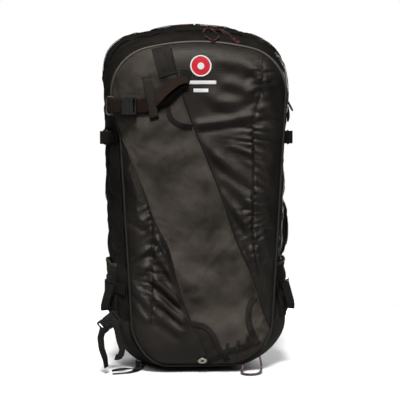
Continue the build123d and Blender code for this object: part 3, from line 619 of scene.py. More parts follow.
RIGHT_FOLDS = [
    # start, end, half width, height, all in mm
    ((-15, 443), (93, 457), 8, 3.2), ((23, 480), (91, 492), 10, 1.8),
    ((45, 520), (97, 500), 11, 2.4), ((13, 500), (89, 458), 13, 2.2), ((33, 560), (103, 538), 12, 2.0),
    ((7, 412), (67, 352), 11, 2.6), ((27, 392), (91, 342), 9, 2.4), ((43, 352), (97, 300), 10, 2.6),
    ((35, 330), (85, 262), 9, 2.2), ((63, 300), (101, 236), 9, 2.0), ((77, 250), (105, 190), 8, 1.8),
    ((53, 408), (95, 392), 7, 1.8), ((111, 520), (131, 470), 9, 1.8), ((105, 440), (133, 380), 9, 2.2),
    ((103, 400), (131, 330), 8, 2.0), ((105, 330), (131, 262), 9, 2.2), ((107, 270), (127, 196), 8, 2.0),
    ((105, 480), (135, 452), 8, 1.8), ((113, 200), (125, 140), 7, 1.6), ((79, 560), (121, 510), 10, 1.6),
]
LEFT_FOLDS = [
    ((-130, 372), (-104, 300), 9, 2.2), ((-132, 318), (-100, 276), 9, 2.4), ((-130, 286), (-92, 268), 7, 2.6),
    ((-128, 206), (-88, 226), 7, 3.2), ((-128, 176), (-90, 198), 8, 3.0), ((-126, 168), (-84, 118), 8, 3.2),
    ((-116, 128), (-92, 96), 8, 2.4), ((-76, 246), (-54, 206), 6, 3.0), ((-80, 226), (-46, 172), 7, 3.6),
    ((-84, 176), (-32, 126), 7, 5.2), ((-78, 140), (-24, 92), 7, 4.6), ((-74, 108), (-30, 74), 9, 2.6),
    ((-116, 402), (-132, 348), 7, 1.6), ((-46, 96), (-4, 40), 12, 1.6),
]
HEAVY_FOLDS = [
    ((-111, 430), (-15, 452), 20, 2.6), ((-103, 402), (3, 400), 26, 2.2), ((-69, 372), (23, 340), 24, 1.8),
    ((-47, 292), (41, 300), 30, 1.6), ((-27, 262), (33, 214), 22, 2.0), ((9, 262), (53, 208), 16, 1.8),
    ((-43, 220), (3, 132), 20, 1.6), ((23, 180), (89, 150), 26, 1.4), ((-7, 100), (53, 70), 22, 1.2),
    ((-103, 540), (-127, 470), 16, 1.4), ((-77, 566), (-59, 520), 14, 1.2),
]


def make_front():
    right_side = outline_walk(TOP_SPLIT, RIGHT_SEAM[-1], -1)
    right_top = outline_walk(RIGHT_SEAM[0], TOP_SPLIT, -1)
    seam_r = smooth_line([right_top[0], *RIGHT_SEAM[1:-1], right_side[-1]], SEAM_STATIONS)
    tip = np.array([right_side[-1], right_side[-1]])
    right = tfi(right_top, tip, seam_r, right_side, 190, 62)
    left_low = outline_walk(LOW_LEFT, LEFT_SEAM[-1], 1)
    left_side = outline_walk(LEFT_SEAM[0], LOW_LEFT, 1)
    seam_l = smooth_line([left_side[0], *LEFT_SEAM[1:-1], left_low[-1]], SEAM_STATIONS)
    peak = np.array([left_side[0], left_side[0]])
    left = tfi(peak, left_low, left_side, seam_l, 150, 48)
    heavy_top = outline_walk(LEFT_SPLIT, seam_r[0], -1)
    heavy_left = np.vstack([outline_walk(LEFT_SPLIT, seam_l[0], 1), seam_l[1:]])
    heavy_low = outline_walk(seam_l[-1], seam_r[-1], 1)
    heavy = tfi(heavy_top, heavy_low, heavy_left, seam_r, 190, 62)
    gathers_right = [(RUCHED_RIGHT, 14, 4.2, 11.0), (RUCHED_RIGHT, 27, 4.2, 23.0)]
    gathers_left = [(RUCHED_LEFT, 13, 4.2, 10.0), (RUCHED_LEFT, 25, 4.0, 21.0)]
    panels = [
        front_mesh("panel_right", right, NYLON, gathers_right, RIGHT_FOLDS),
        front_mesh("panel_left", left, NYLON, gathers_left, LEFT_FOLDS),
        front_mesh("panel_heavy", heavy, HEAVY, (), HEAVY_FOLDS, -0.012, 0.5),
    ]
    finish_piece(panels[0], "pack", "shell_nylon", "front_panel")
    finish_piece(panels[1], "pack", "shell_nylon")
    finish_piece(panels[2], "pack", "heavy_fabric", "ski_panel")
    return panels, seam_r, seam_l


PANELS, SEAM_R, SEAM_L = make_front()


def tree_of(objects):
    """One ray-casting tree over several meshes."""
    verts, faces = [], []
    for obj in objects:
        base = len(verts)
        verts += [v.co.copy() for v in obj.data.vertices]
        faces += [[base + i for i in p.vertices] for p in obj.data.polygons]
    return BVHTree.FromPolygons(verts, faces)


FRONT_TREE = tree_of(PANELS)


def on_front(x, z, lift=0.0):
    """Point on the settled front panels at (x, z) in mm, lifted by some mm, and the normal there."""
    hit, normal, _, _ = FRONT_TREE.ray_cast(Vector((x, -RAY, z)) * MM, Vector((0, 1, 0)))
    if hit is None:
        hit, normal, _, _ = FRONT_TREE.find_nearest(Vector((x, -100, z)) * MM)
    if normal.y > 0:
        normal = -normal
    return hit + normal * lift * MM, normal


# ---------------------------------------------------------------- the gusset, airbag cover and boot
def ring_points():
    """Surface behind the piping: rows run back to the wearer's side, columns round the outline."""
    ys = np.r_[np.linspace(PANEL_Y, COVER_Y, 46), np.linspace(COVER_Y, 100, 16)[1:]]
    rows = [outline_at(y) for y in ys]
    xz = np.stack(rows)
    return ys, xz


# Where the stuffed bag stands proud of its even outline, or is drawn in by a strap:
# side, middle height, reach up and down, how far out, and the depths where it starts, is fullest and ends, mm
BULGES = [
    (1, 84, 50, 18.0, (-80, 20, 100)), (-1, 92, 46, 7.0, (-80, 20, 100)),
    (1, 240, 62, 20.0, (24, 66, 100)), (1, 398, 49, -6.0, (-70, 30, 99)),
    (1, 578, 26, 5.0, (-70, 50, 100)), (-1, 578, 28, 10.5, (-70, 50, 100)),
]


def bulge(x, y, z):
    """How far the bag's surface stands off its even outline at places, all in mm."""
    lift = np.zeros_like(z)
    for side, middle, reach, height, depths in BULGES:
        across = np.clip((x * side - 84) / 40, 0, 1)
        deep = np.interp(y, depths, (0, 1, 0))
        lift += height * np.exp(-((z - middle) / reach) ** 2) * across * np.sqrt(deep)
    return lift


def make_ring():
    ys, xz = ring_points()
    rows, cols = xz.shape[:2]
    out = unit(xz - MIDDLE)
    around = lengths(xz[20])
    z = xz[..., 1]
    y = np.broadcast_to(ys[:, None], z.shape)
    full = np.interp(ys, [PANEL_Y, -60, ZIP_Y[0], ZIP_Y[1], 10, COVER_Y, 76, 100],
                     [0, 2.5, 0, 0, 3.5, 0, 2.5, 0])
    side = np.clip((z - BOOT_TOP) / 25, 0, 1)
    wave = (np.sin(z / 17.0 + y / 9.0) + 0.6 * np.sin(z / 8.3 - y / 13.0 + 1.0)) * 0.9
    lift = full[:, None] * side * (1 + 0.35 * wave)
    crease = np.exp(-((y + 50 - 4 * np.sin(xz[..., 0] / 40)) / 4.5) ** 2)
    lift -= 4.5 * crease * np.clip((z - 560) / 25, 0, 1) * np.clip((70 - xz[..., 0]) / 30, 0, 1)
    along = unit(np.roll(xz, -1, axis=1) - np.roll(xz, 1, axis=1))
    facing = np.stack([along[..., 1], -along[..., 0]], -1)
    xz = xz + out * lift[..., None] + facing * bulge(xz[..., 0], y, z)[..., None]
    points = np.stack([xz[..., 0], y, xz[..., 1]], -1) * MM
    uv = np.stack([np.broadcast_to(around[None, :], z.shape), y], -1) * MM
    pins = np.zeros((rows, cols), bool)
    for seam in (PANEL_Y, *ZIP_Y, COVER_Y, 100.0):
        pins[int(np.abs(ys - seam).argmin())] = True
    pins |= z < BOOT_TOP + 2
    obj = grid("bag_ring", points, uv, wrap=True)
    cloth(obj, pins.ravel(), 14, -0.02, 0.5, bend=1.5)
    co = places(obj).reshape(rows, cols, 3)
    bpy.data.objects.remove(obj)
    return ys, co, uv


RING_Y, RING, RING_UV = make_ring()


def ring_patch(name, row_range, keep, material):
    """Part of the ring as its own piece: some rows, and the faces whose middle passes a test on height."""
    r0, r1 = row_range
    co, uv = RING[r0:r1 + 1], RING_UV[r0:r1 + 1]
    rows, cols = co.shape[:2]
    _, faces = lattice(rows, cols, wrap=True)
    flat = co.reshape(-1, 3)
    mid = flat[faces].mean(1)
    faces = faces[keep(mid[:, 2] / MM)]
    used = np.unique(faces)
    renumber = -np.ones(len(flat), int)
    renumber[used] = np.arange(len(used))
    obj = new_object(name, flat[used], renumber[faces][:, ::-1])
    set_uv(obj, uv.reshape(-1, 2)[used])
    return paint(obj, material)


def row_of(y):
    return int(np.abs(RING_Y - y).argmin())


def make_bag_back():
    cover_row = row_of(COVER_Y)
    last = len(RING_Y) - 1
    shell = ring_patch("gusset", (0, cover_row), lambda z: z > BOOT_TOP, GUSSET)
    finish_piece(shell, "pack", "shell_nylon", "main_shell")
    cover = ring_patch("airbag_cover_rim", (cover_row, last), lambda z: z > BOOT_TOP, GUSSET)
    finish_piece(cover, "pack", "shell_nylon", "airbag_cover")
    boot = ring_patch("boot", (0, last), lambda z: z <= BOOT_TOP, BOOT)
    finish_piece(boot, "pack", "boot_fabric", "base_boot")
    return shell, cover, boot


SHELL, COVER, BOOT_PIECE = make_bag_back()
SIDE_TREE = tree_of([SHELL, COVER, BOOT_PIECE])


def on_side(side, y, z, lift=0.0):
    """Point on the settled gusset at (y, z) in mm on the right (+1) or left (-1)."""
    hit, normal, _, _ = SIDE_TREE.ray_cast(Vector((side * RAY, y, z)) * MM, Vector((-side, 0, 0)))
    if normal.x * side < 0:
        normal = -normal
    return hit + normal * lift * MM, normal


# ---------------------------------------------------------------- webbing, cords, threads and pads
def tangents(line, closed=False):
    if closed:
        return unit(np.roll(line, -1, axis=0) - np.roll(line, 1, axis=0))
    return unit(np.gradient(line, axis=0))


def round_profile(radius, sides=10):
    a = turns(sides)
    return np.stack([radius * np.cos(a), radius * np.sin(a)], 1)


def web_profile(width, thick, low=0.0):
    """Webbing in section: flat faces a little crowned, with soft edges, standing on height low."""
    u = np.array([-0.5, -0.49, -0.44, -0.25, 0.0, 0.25, 0.44, 0.49, 0.5]) * width
    crown = np.array([0.5, 0.75, 0.92, 1.0, 1.0, 1.0, 0.92, 0.75, 0.5])
    top = np.stack([u, low + thick * crown], 1)
    bottom = np.stack([u[::-1][1:-1], low + thick * (1 - crown[1:-1])], 1)
    return np.vstack([top, bottom])


def pillow_profile(width, thick, count=28, square=3.4, fullness=2.2):
    """A pad in section: a rounded box that is fullest along its middle."""
    a = turns(count)
    c, s = np.cos(a), np.sin(a)
    return np.stack([width / 2 * np.sign(c) * np.abs(c) ** (2 / square),
                     thick / 2 * np.sign(s) * np.abs(s) ** (2 / fullness)], 1)


def swept(name, line, normals, profile, material, closed=False):
    """A solid swept along a line in mm. The profile is a loop of (across, out) offsets, or one a station."""
    line = np.asarray(line, float)
    t = tangents(line, closed)
    n = np.broadcast_to(np.asarray(normals, float), line.shape)
    n = unit(n - (n * t).sum(1, keepdims=True) * t)
    side = np.cross(t, n)
    profile = np.asarray(profile, float)
    if profile.ndim == 2:
        profile = np.broadcast_to(profile, (len(line), *profile.shape))
    points = line[:, None] + side[:, None] * profile[..., :1] + n[:, None] * profile[..., 1:]
    idx, faces = lattice(*points.shape[:2], wrap=True, closed=closed)
    u = lengths(np.vstack([profile[0], profile[0][:1]])) * MM
    v = lengths(np.vstack([line, line[:1]]) if closed else line) * MM
    uu, vv = np.meshgrid(u, v)
    flat = np.stack([uu, vv], -1)
    uv = np.stack([flat[:-1, :-1], flat[:-1, 1:], flat[1:, 1:], flat[1:, :-1]], 2).reshape(-1, 2)
    ends = [] if closed else [tuple(idx[0, :-1][::-1]), tuple(idx[-1, :-1])]
    obj = new_object(name, points.reshape(-1, 3) * MM, [*map(tuple, faces), *ends])
    layer = obj.data.uv_layers.new(name="UVMap")
    full = np.zeros((len(obj.data.loops), 2))
    full[:len(uv)] = uv
    layer.data.foreach_set("uv", full.ravel().astype(np.float32))
    return paint(outward(obj), material)


def ribbon(name, line, normals, width, material=WEB):
    """Webbing of the usual thickness, centred on a line."""
    return swept(name, line, normals, web_profile(width, WEBBING, -WEBBING / 2), material)


def outward(obj):
    """Turns a closed mesh's faces outwards."""
    bm = bmesh.new()
    bm.from_mesh(obj.data)
    bmesh.ops.recalc_face_normals(bm, faces=bm.faces)
    bm.to_mesh(obj.data)
    bm.free()
    return obj


def fillet_line(points, radii, step=2.5):
    """Points along straight runs joined by arcs, in any number of dimensions."""
    p = np.asarray(points, float)
    out = [p[0]]
    for a, b, c, r in zip(p, p[1:], p[2:], radii):
        d1, d2 = unit(a - b), unit(c - b)
        half = np.arccos(np.clip(d1 @ d2, -1, 1)) / 2
        reach = r / np.tan(half)
        hub = b + unit(d1 + d2) * r / np.sin(half)
        start, stop = b + d1 * reach - hub, b + d2 * reach - hub
        for k in np.linspace(0, 1, 9):
            out.append(hub + unit(start * (1 - k) + stop * k) * r)
    out.append(p[-1])
    line = np.array(out)
    return resample(line, max(6, int(lengths(line)[-1] / step)))


def nurbs_points(points):
    """Points read from a cord's NURBS line, in metres."""
    curve = bpy.data.curves.new("route", "CURVE")
    curve.dimensions = "3D"
    curve.resolution_u = 10
    spline = curve.splines.new("NURBS")
    spline.points.add(len(points) - 1)
    for point, place in zip(spline.points, points):
        point.co = (*(c * MM for c in place), 1)
    spline.order_u = 3
    spline.use_endpoint_u = True
    obj = linked("route", curve)
    dg = bpy.context.evaluated_depsgraph_get()
    mesh = bpy.data.meshes.new_from_object(obj.evaluated_get(dg))
    found = np.array([v.co for v in mesh.vertices])
    bpy.data.objects.remove(obj)
    return found


def cord(node, body, slot, points, diameter, material):
    """A free loop of cord that replaces its CAD tube."""
    path = nurbs_points(points)
    t = tangents(path)
    normals = [unit(np.cross(t[0], (0.3, 0.2, 1.0)))]
    for a in t[1:]:
        normals.append(unit(normals[-1] - (normals[-1] @ a) * a))
    obj = swept(node + "_cord", path / MM, normals, round_profile(diameter / 2, 12), material)
    finish_piece(obj, body, slot, node)
    return obj


THREADS = {}  # body -> list of (start, end, out) of single stitches, in mm


def stitch(body, line, normals, pitch=3.4, length=2.3):
    """A row of stitches along a line lying on a surface."""
    line = np.asarray(line, float)
    step = lengths(line)
    total = step[-1]
    count = max(2, int(total / pitch))
    normals = np.broadcast_to(np.asarray(normals, float), line.shape)
    both = np.hstack([line, normals])
    for k in range(count):
        a, b = k * total / count, k * total / count + length
        ends = [np.array([np.interp(at, step, both[:, c]) for c in range(6)]) for at in (a, min(b, total))]
        THREADS.setdefault(body, []).append((ends[0][:3], ends[1][:3], unit(ends[0][3:])))


def make_threads():
    for body, rows in THREADS.items():
        verts, faces = [], []
        for a, b, out in rows:
            along = unit(b - a)
            side = np.cross(along, out)
            base = len(verts)
            mid = (a + b) / 2 + out * 0.25
            verts += [a - out * 0.2, mid + side * 0.42, mid + out * 0.32, mid - side * 0.42, mid - out * 0.3,
                      b - out * 0.2]
            ring = [base + 1, base + 2, base + 3, base + 4]
            faces += [(base, ring[k], ring[(k + 1) % 4]) for k in range(4)]
            faces += [(base + 5, ring[(k + 1) % 4], ring[k]) for k in range(4)]
        obj = outward(new_object(f"stitching_{body}", np.array(verts) * MM, faces))
        set_uv(obj, np.array(verts)[:, ::2] * MM)
        finish_piece(paint(obj, THREAD), body, "shell_nylon")


# ---------------------------------------------------------------- seams, piping, zips and pulls on the bag
def laid(found):
    """Points in mm and directions, from the places a ray found."""
    return np.array([tuple(p) for p, _ in found]) / MM, unit([tuple(n) for _, n in found])


def front_line(points, count=80, lift=0.0):
    """A line in the front view laid on the settled front, with the directions out of it."""
    xz = smooth_line(points, count)
    return laid([on_front(x, z, lift) for x, z in xz])


def laid_web(name, points, width, thick, material, count=60, lift=0.2):
    """Webbing sewn flat on the front, every point of it on the settled fabric. Its width may vary."""
    xz = smooth_line(points, count)
    width = np.interp(np.linspace(0, 1, count), np.linspace(0, 1, np.size(width)), np.ravel(width))
    t = unit(np.gradient(xz, axis=0))
    across = np.stack([t[:, 1], -t[:, 0]], 1)
    profile = web_profile(1.0, thick)
    verts = [tuple(on_front(*(p + a * u * w), lift + v)[0])
             for p, a, w in zip(xz, across, width) for u, v in profile]
    cols = len(profile)
    idx, faces = lattice(count, cols, wrap=True)
    ends = [tuple(idx[0, :-1][::-1]), tuple(idx[-1, :-1])]
    obj = new_object(name, verts, [*map(tuple, faces), *ends])
    along = lengths(xz) * MM
    uv = np.stack([width[:, None] * profile[:, 0] * MM, np.broadcast_to(along[:, None], (count, cols))], -1)
    set_uv(obj, uv.reshape(-1, 2))
    for edge in (-1, 1):
        row = xz + across * edge * (width[:, None] / 2 - STITCH_INSET)
        stitch("pack", *laid([on_front(*p, lift + thick) for p in row]))
    return paint(outward(obj), material)


def bar_tack(line_points, rows, gap, lift):
    """A dense block of stitching across webbing on the front."""
    (x0, z0), (x1, z1) = line_points
    across = unit(np.array([z0 - z1, x1 - x0], float))
    for k in range(rows):
        shift = across * (k - (rows - 1) / 2) * gap
        line, normals = front_line([(x0 + shift[0], z0 + shift[1]), (x1 + shift[0], z1 + shift[1])], 8, lift)
        stitch("pack", line, normals, 1.5, 1.2)


def round_line(y, low_z, lift=0.0, grow_from=60.0):
    """Points over the settled bag at a depth and above a height, right to left, and the directions out."""
    ring = full_outline(section_at(y))
    t = tangents(ring, True)
    out = np.stack([t[:, 1], -t[:, 0]], 1)
    keep = ring[:, 1] > low_z
    points, normals = [], []
    for (x, z), (ox, oz) in zip(ring[keep], out[keep]):
        d = Vector((ox, 0, oz))
        hit, _, _, _ = SIDE_TREE.ray_cast(Vector((x, y, z)) * MM + d * grow_from * MM, -d)
        points.append(tuple(hit / MM + d * lift))
        normals.append(tuple(d))
    return resample(np.array(points), len(points) * 2), resample(np.array(normals), len(points) * 2)


def side_line(side, y_path, z_path, lift, count=40):
    """Points on one side of the settled bag through (y, z) places."""
    yz = resample(np.stack([y_path, z_path], 1), count)
    return laid([on_side(side, y, z, lift) for y, z in yz])


def zip_run(name, line, normals, tape=6.5):
    """A coil zip: two tapes with raised inner edges, and a tooth at each pitch."""
    across = np.cross(tangents(line), normals)
    parts = []
    for side in (-1, 1):
        half = line + across * side * (tape / 2 + 0.7) + normals * 0.5
        parts.append(swept(name, half, normals, web_profile(tape, 0.9), TAPE))
        stitch("pack", half + across * side * (tape / 2 - 0.5) + normals * 0.8, normals, 3.0, 2.1)
    count = int(lengths(line)[-1] / 1.9)
    p, n = resample(line, count), resample(normals, count)
    t = tangents(p)
    a = np.cross(t, n)
    verts, faces = [], []
    for k in range(count):
        shift = a[k] * (0.45 if k % 2 else -0.45)
        for dz in (0.4, 1.7):
            for da, dt in ((-1.9, -0.6), (1.9, -0.6), (1.9, 0.6), (-1.9, 0.6)):
                squeeze = 0.8 if dz > 1 else 1.0
                verts.append(p[k] + shift + a[k] * da * squeeze + t[k] * dt * squeeze + n[k] * dz)
        b = 8 * k
        faces += [(b, b + 3, b + 2, b + 1), (b + 4, b + 5, b + 6, b + 7)]
        faces += [(b + j, b + (j + 1) % 4, b + 4 + (j + 1) % 4, b + 4 + j) for j in range(4)]
    teeth = new_object(name + "_teeth", np.array(verts) * MM, faces, smooth=False)
    set_uv(teeth, np.array(verts)[:, ::2] * MM)
    parts.append(paint(teeth, TEETH))
    return join(name, parts)


def make_piping():
    edge = outline_at(PANEL_Y, 0.9)
    line = np.insert(edge, 1, PANEL_Y - 0.2, axis=1)
    t = tangents(line, True)
    out = np.stack([t[:, 2], 0 * t[:, 1], -t[:, 0]], 1)
    bead = swept("piping_bead", line, out, round_profile(2.3, 10), PIPING, closed=True)
    lip = outline_at(PANEL_Y + 7, 0.5)
    lip_line = np.insert(lip, 1, PANEL_Y + 6.5, axis=1)
    hem = swept("piping_hem", lip_line, out, web_profile(8, 0.9, 0.3), WEB, closed=True)
    stitch("pack", lip_line + out * 1.6 + (0, 1.8, 0), out, 3.6, 2.4)
    finish_piece(join("piping", [bead, hem]), "pack", "piping", "front_piping")


def make_seams():
    parts = []
    for name, seam, radius, material, lift in (("seam_right", SEAM_R, 1.25, SEAM_BLACK, 0.3),
                                               ("seam_left", SEAM_L, 0.9, NYLON, 0.2)):
        line, normals = front_line(seam[2:-2], 150, lift)
        parts.append(swept(name, line, normals, round_profile(radius, 8), material))
        for shift in ((-3.2, -1.2), (-4.9, -1.9)):
            row, out = front_line(np.asarray(seam[4:-4]) + shift, 150, 0.25)
            stitch("pack", row, out, 3.6, 2.5)
    for name, seam in (("ruche_right", RUCHED_RIGHT), ("ruche_left", RUCHED_LEFT)):
        line, normals = front_line(seam, 120, 0.1)
        parts.append(swept(name, line, normals, round_profile(0.75, 6), SEAM_BLACK))
        for shift in (-2.6, 2.6):
            row, out = front_line(np.asarray(seam) + (shift, 0), 140, 0.2)
            stitch("pack", row, out, 2.6, 1.7)
    finish_piece(join("front_seams", parts), "pack", "shell_nylon")


def make_zips():
    main = zip_run("main_zip", *round_line((ZIP_Y[0] + ZIP_Y[1]) / 2, 330, 0.1))
    burst = zip_run("airbag_zip", *round_line(COVER_Y + 20, 210, 0.1), tape=5.0)
    front = zip_run("side_zip_front", *side_line(1, [2, 2], [202, 512], 0.1, 90), tape=5.5)
    back = zip_run("side_zip_back", *side_line(1, [40, 40], [202, 512], 0.1, 90), tape=5.5)
    finish_piece(join("zips", [main, burst, front, back]), "pack", "zip_tape", "zip_tracks")


CORD_D, LOOP_CORD_D = 3.0, 4.0
PULLS = {
    "main_pull_left": [(18.5, -31.8, 616), (12, -43, 612.5), (9, -57, 606.5), (11, -72, 600.5),
                       (16, -86, 597),
                       (24, -95, 591), (33, -87, 596), (37, -72, 599), (34, -57, 605), (29, -43, 611.5),
                       (23, -31.8, 616)],
    "main_pull_right": [(41, -31.8, 614), (45, -44, 609), (52, -58, 602.5), (59, -73, 595.5), (66, -86, 590),
                        (72, -90, 587), (71, -82, 590.5), (64, -69, 596.5), (57, -56, 603), (50, -44, 608.5),
                        (45.5, -31.8, 613.5)],
    "airbag_pull": [(0, 70, 627.2), (-10, 66, 626.5), (-22, 64, 625), (-33, 66, 624.2), (-40, 73, 624.3),
                    (-34, 81, 625.3), (-22, 83, 626.6), (-10, 79, 627), (0, 74.5, 627.4)],
    "side_pull_front": [(169.4, 0, 475.5), (171, -5, 466), (171, -7, 456), (170, -2, 448), (170, 6, 448),
                        (171, 11, 456), (171, 9, 466), (169.4, 4.2, 475.5)],
    "side_pull_back": [(171.4, 38, 489.5), (175.5, 35.5, 482), (180, 35, 474), (183.5, 38, 467),
                       (183.5, 43, 467), (180, 46, 474), (175.5, 45, 482), (171.4, 42.3, 489.5)],
}
ICE_AXE_LOOP = [(81, -80, 14.5), (79, -93, 10), (74, -106, 4), (75, -118, 2.8), (84, -126, 2.8),
                (97, -125, 2.8), (107, -116, 3.5), (111, -104, 9), (111, -92, 19), (109, -80, 31)]


def make_cords():
    for node, points in PULLS.items():
        cord(node, node, "pull_cord", points, CORD_D, RED_CORD)
    cord("ice_axe_loop", "pack", "axe_cord", ICE_AXE_LOOP, LOOP_CORD_D, AXE_CORD)


PATCH_X, PATCH_Z, PATCH_R = 1.5, 547.0, 17.5


def front_disc(name, x, z, radius, lift, material, rings=8, sides=48):
    """A disc laid on the front."""
    verts = [tuple(on_front(x, z, lift)[0])]
    uv = [(0, 0)]
    for r in range(1, rings + 1):
        for k in range(sides):
            a = tau * k / sides
            dx, dz = radius * r / rings * cos(a), radius * r / rings * sin(a)
            verts.append(tuple(on_front(x + dx, z + dz, lift)[0]))
            uv.append((dx * MM, dz * MM))
    faces = [(0, 1 + k, 1 + (k + 1) % sides) for k in range(sides)]
    for r in range(rings - 1):
        a, b = 1 + r * sides, 1 + (r + 1) * sides
        faces += [(a + k, b + k, b + (k + 1) % sides, a + (k + 1) % sides) for k in range(sides)]
    return paint(set_uv(new_object(name, verts, faces), uv), material)


def make_patch():
    """A plain embroidered disc with a dot, and two plain bars below it."""
    disc = front_disc("patch_disc", PATCH_X, PATCH_Z, PATCH_R, 0.9, PATCH_RED)
    a = turns(64)
    line, out = laid([on_front(PATCH_X + PATCH_R * cos(k), PATCH_Z + PATCH_R * sin(k), 0.8) for k in a])
    rim = swept("patch_rim", line, out, round_profile(1.5, 8), PATCH_WHITE, closed=True)
    parts = [disc, rim, front_disc("patch_dot", PATCH_X, PATCH_Z, 6.0, 1.5, PATCH_WHITE)]
    for z, half in ((518.5, 27.0), (504.5, 13.0)):
        line, out = front_line([(PATCH_X - half, z), (PATCH_X + half, z)], 30, 0.3)
        parts.append(swept("bar", line, out, web_profile(6.4, 0.7), PATCH_WHITE))
    finish_piece(join("front_patch", parts), "pack", "shell_nylon")


SEAM_BLACK = woven("seam binding", (0.002, 0.002, 0.002), (0.007, 0.007, 0.007), (0.6, 0.75), 0.0006, 0.0002)
PATCH_RED = woven("patch red", (0.5, 0.01, 0.02), (0.72, 0.02, 0.035), (0.5, 0.7), 0.0007, 0.0003, sheen=0.3)
PATCH_WHITE = woven("patch white", (0.72, 0.72, 0.72), (0.92, 0.92, 0.92), (0.5, 0.7), 0.0007, 0.0003,
                    sheen=0.3)

make_piping()
make_seams()
make_zips()
make_cords()
make_patch()


# ---------------------------------------------------------------- straps on the outer face
SKI_Z = 478.0


def make_ski_strap():
    z = SKI_Z
    line = fillet_line([(-121, -116.5, z), (-112, -116.9, z), (-92, -118.0, z), (-72, -121.5, z + 16),
                        (-52, -123.0, z + 34), (-36, -119.5, z + 45), (-22, -115.6, z + 46)],
                       [40, 30, 60, 60, 40], 2.0)
    twist = np.clip((line[:, :1] + 92) / 26, 0, 1)
    facing = (1 - twist) * (0, -1, 0) + twist * (0, -0.75, 0.66)
    widths = 25 - 7 * twist[:, 0]
    profiles = [web_profile(w, WEBBING, -WEBBING / 2) for w in widths]
    strap = swept("ski_strap", line, facing, profiles, BROWN_WEB)
    for edge in (-10.6, 10.6):
        flat = line[(twist[:, 0] == 0) & (line[:, 0] > -96)]
        stitch("pack", flat + (0, -0.8, edge), (0, -1, 0))
    under = fillet_line([(-92, -115.2, z - 4), (-74, -116.5, z - 3), (-54, -118.5, z + 10),
                         (-34, -116.6, z + 26), (-21, -114.8, z + 32)], [60, 60, 60], 2.0)
    under = ribbon("ski_strap_under", under, (0, -0.72, -0.7), 15)
    folded = fillet_line([(-121, -115.6, z), (-128, -116.0, z), (-128, -119.0, z), (-121, -119.4, z)],
                         [1.4, 1.4], 0.8)
    fold_end = swept("ski_strap_fold", folded, (0, 0, 1), web_profile(1.2, 24, -12), WEB)
    finish_piece(join("ski_strap", [strap, under, fold_end]), "pack", "webbing", "ski_strap_webbing")


def make_front_webbing():
    parts = []
    keeper = fillet_line([(-79.5, -113.4, 455), (-80.3, -119.6, 458), (-86.5, -122.6, 490),
                          (-92.7, -119.6, 523), (-93.5, -113.4, 527)], [3, 60, 60, 3], 2.0)
    parts.append(ribbon("ski_keeper", keeper, (0, -1, 0), 15.5, LOOP_WEB))
    for place in ((-87.5, 452.5, -71.5, 456), (-101.5, 526, -85.5, 530)):
        bar_tack([place[:2], place[2:]], 4, 1.3, 1.4)
    parts.append(laid_web("ski_anchor", [(-31, 505), (-27, 522), (-23, 541)], 19, 1.7, WEB, 24))
    for z in (507, 512, 534, 539):
        bar_tack([(-35, z), (-18, z - 1)], 2, 1.2, 2.2)
    parts.append(laid_web("ski_anchor_top", [(-68, 580), (-63, 558), (-55, 530)], 33, 1.0, BOOT, 30))
    for x in (-74, -62, -50):
        bar_tack([(x, 572), (x + 8, 540)], 3, 1.5, 1.4)
    parts.append(laid_web("ski_buckle_root", [(-128, 478), (-140, 477), (-149, 476)], 24, 1.6, WEB, 24))
    parts.append(laid_web("low_ground", [(-9, 90), (10, 68), (21, 46), (32, 22)], (8, 22, 26, 36), 0.4, BOOT,
                          30))
    parts.append(laid_web("low_loop_left", [(-14, 93), (8, 87), (23, 72), (33, 50), (50, 23)], 10, 1.6,
                          LOOP_WEB, 50, 0.5))
    parts.append(laid_web("low_loop_right", [(97, 140), (88, 122), (86, 98), (92, 77), (105, 52)], 11, 1.6,
                          LOOP_WEB, 50))
    parts.append(laid_web("low_link", [(36, 38), (60, 44), (80, 50), (100, 60)], 12, 1.2, LOOP_WEB, 40, 0.6))
    for x, z in ((47, 42), (66, 47), (83, 56)):
        parts.append(laid_web("low_tab", [(x, z - 8), (x + 2, z + 15)], 6, 2.0, LOOP_WEB, 12, 1.0))
        bar_tack([(x - 3, z + 12), (x + 6, z + 12)], 2, 1.3, 3.2)
    a = turns(48)
    window = np.stack([-157 + 6.5 * np.sign(np.cos(a)) * np.abs(np.cos(a)) ** 0.35, -108 - 4 * np.cos(a),
                       SKI_Z + 15.5 * np.sign(np.sin(a)) * np.abs(np.sin(a)) ** 0.35], 1)
    parts.append(swept("ski_window", window, (-0.25, -1, 0), round_profile(1.5, 8), FRAME_BAR, closed=True))
    wrap = [(-163, -104), (-156, -112), (-152, -121.3), (-139.5, -124.4), (-138.6, -121)]
    wrap = [(x, y, SKI_Z) for x, y in wrap]
    parts.append(ribbon("ski_wrap", smooth_line(wrap, 30), (-0.2, -1, 0), 25, BROWN_WEB))
    parts.append(laid_web("hanging_loop", [(-57, 480), (-54, 461), (-44, 449), (-30, 443), (-14, 441)], 9,
                          1.4, WEB, 40))
    finish_piece(join("front_webbing", parts), "pack", "webbing", "ski_webbing_fixed")


POCKET_HALF, POCKET_LOW, POCKET_TOP = 60.0, 94.0, 191.0
HIGH_STRAP_Z, LOW_STRAP_Z = 421, 150


def pocket_lift(y, z):
    """How far the stretch pocket stands off the gusset."""
    def ease(t):
        t = np.clip(t, 0, 1)
        return t * t * (3 - 2 * t)
    edge = ease((POCKET_HALF - abs(y)) / 20) * ease((z - POCKET_LOW) / 22)
    drawn = 1 - 0.42 * ease((z - 160) / 32)
    ripple = np.sin(y / 2.3 + 0.6 * np.sin(z / 9))
    gathers = 0.55 * ripple * ease((z - 150) / 40) * ease((POCKET_HALF - abs(y)) / 12)
    return 0.6 + 8.6 * edge * drawn + gathers


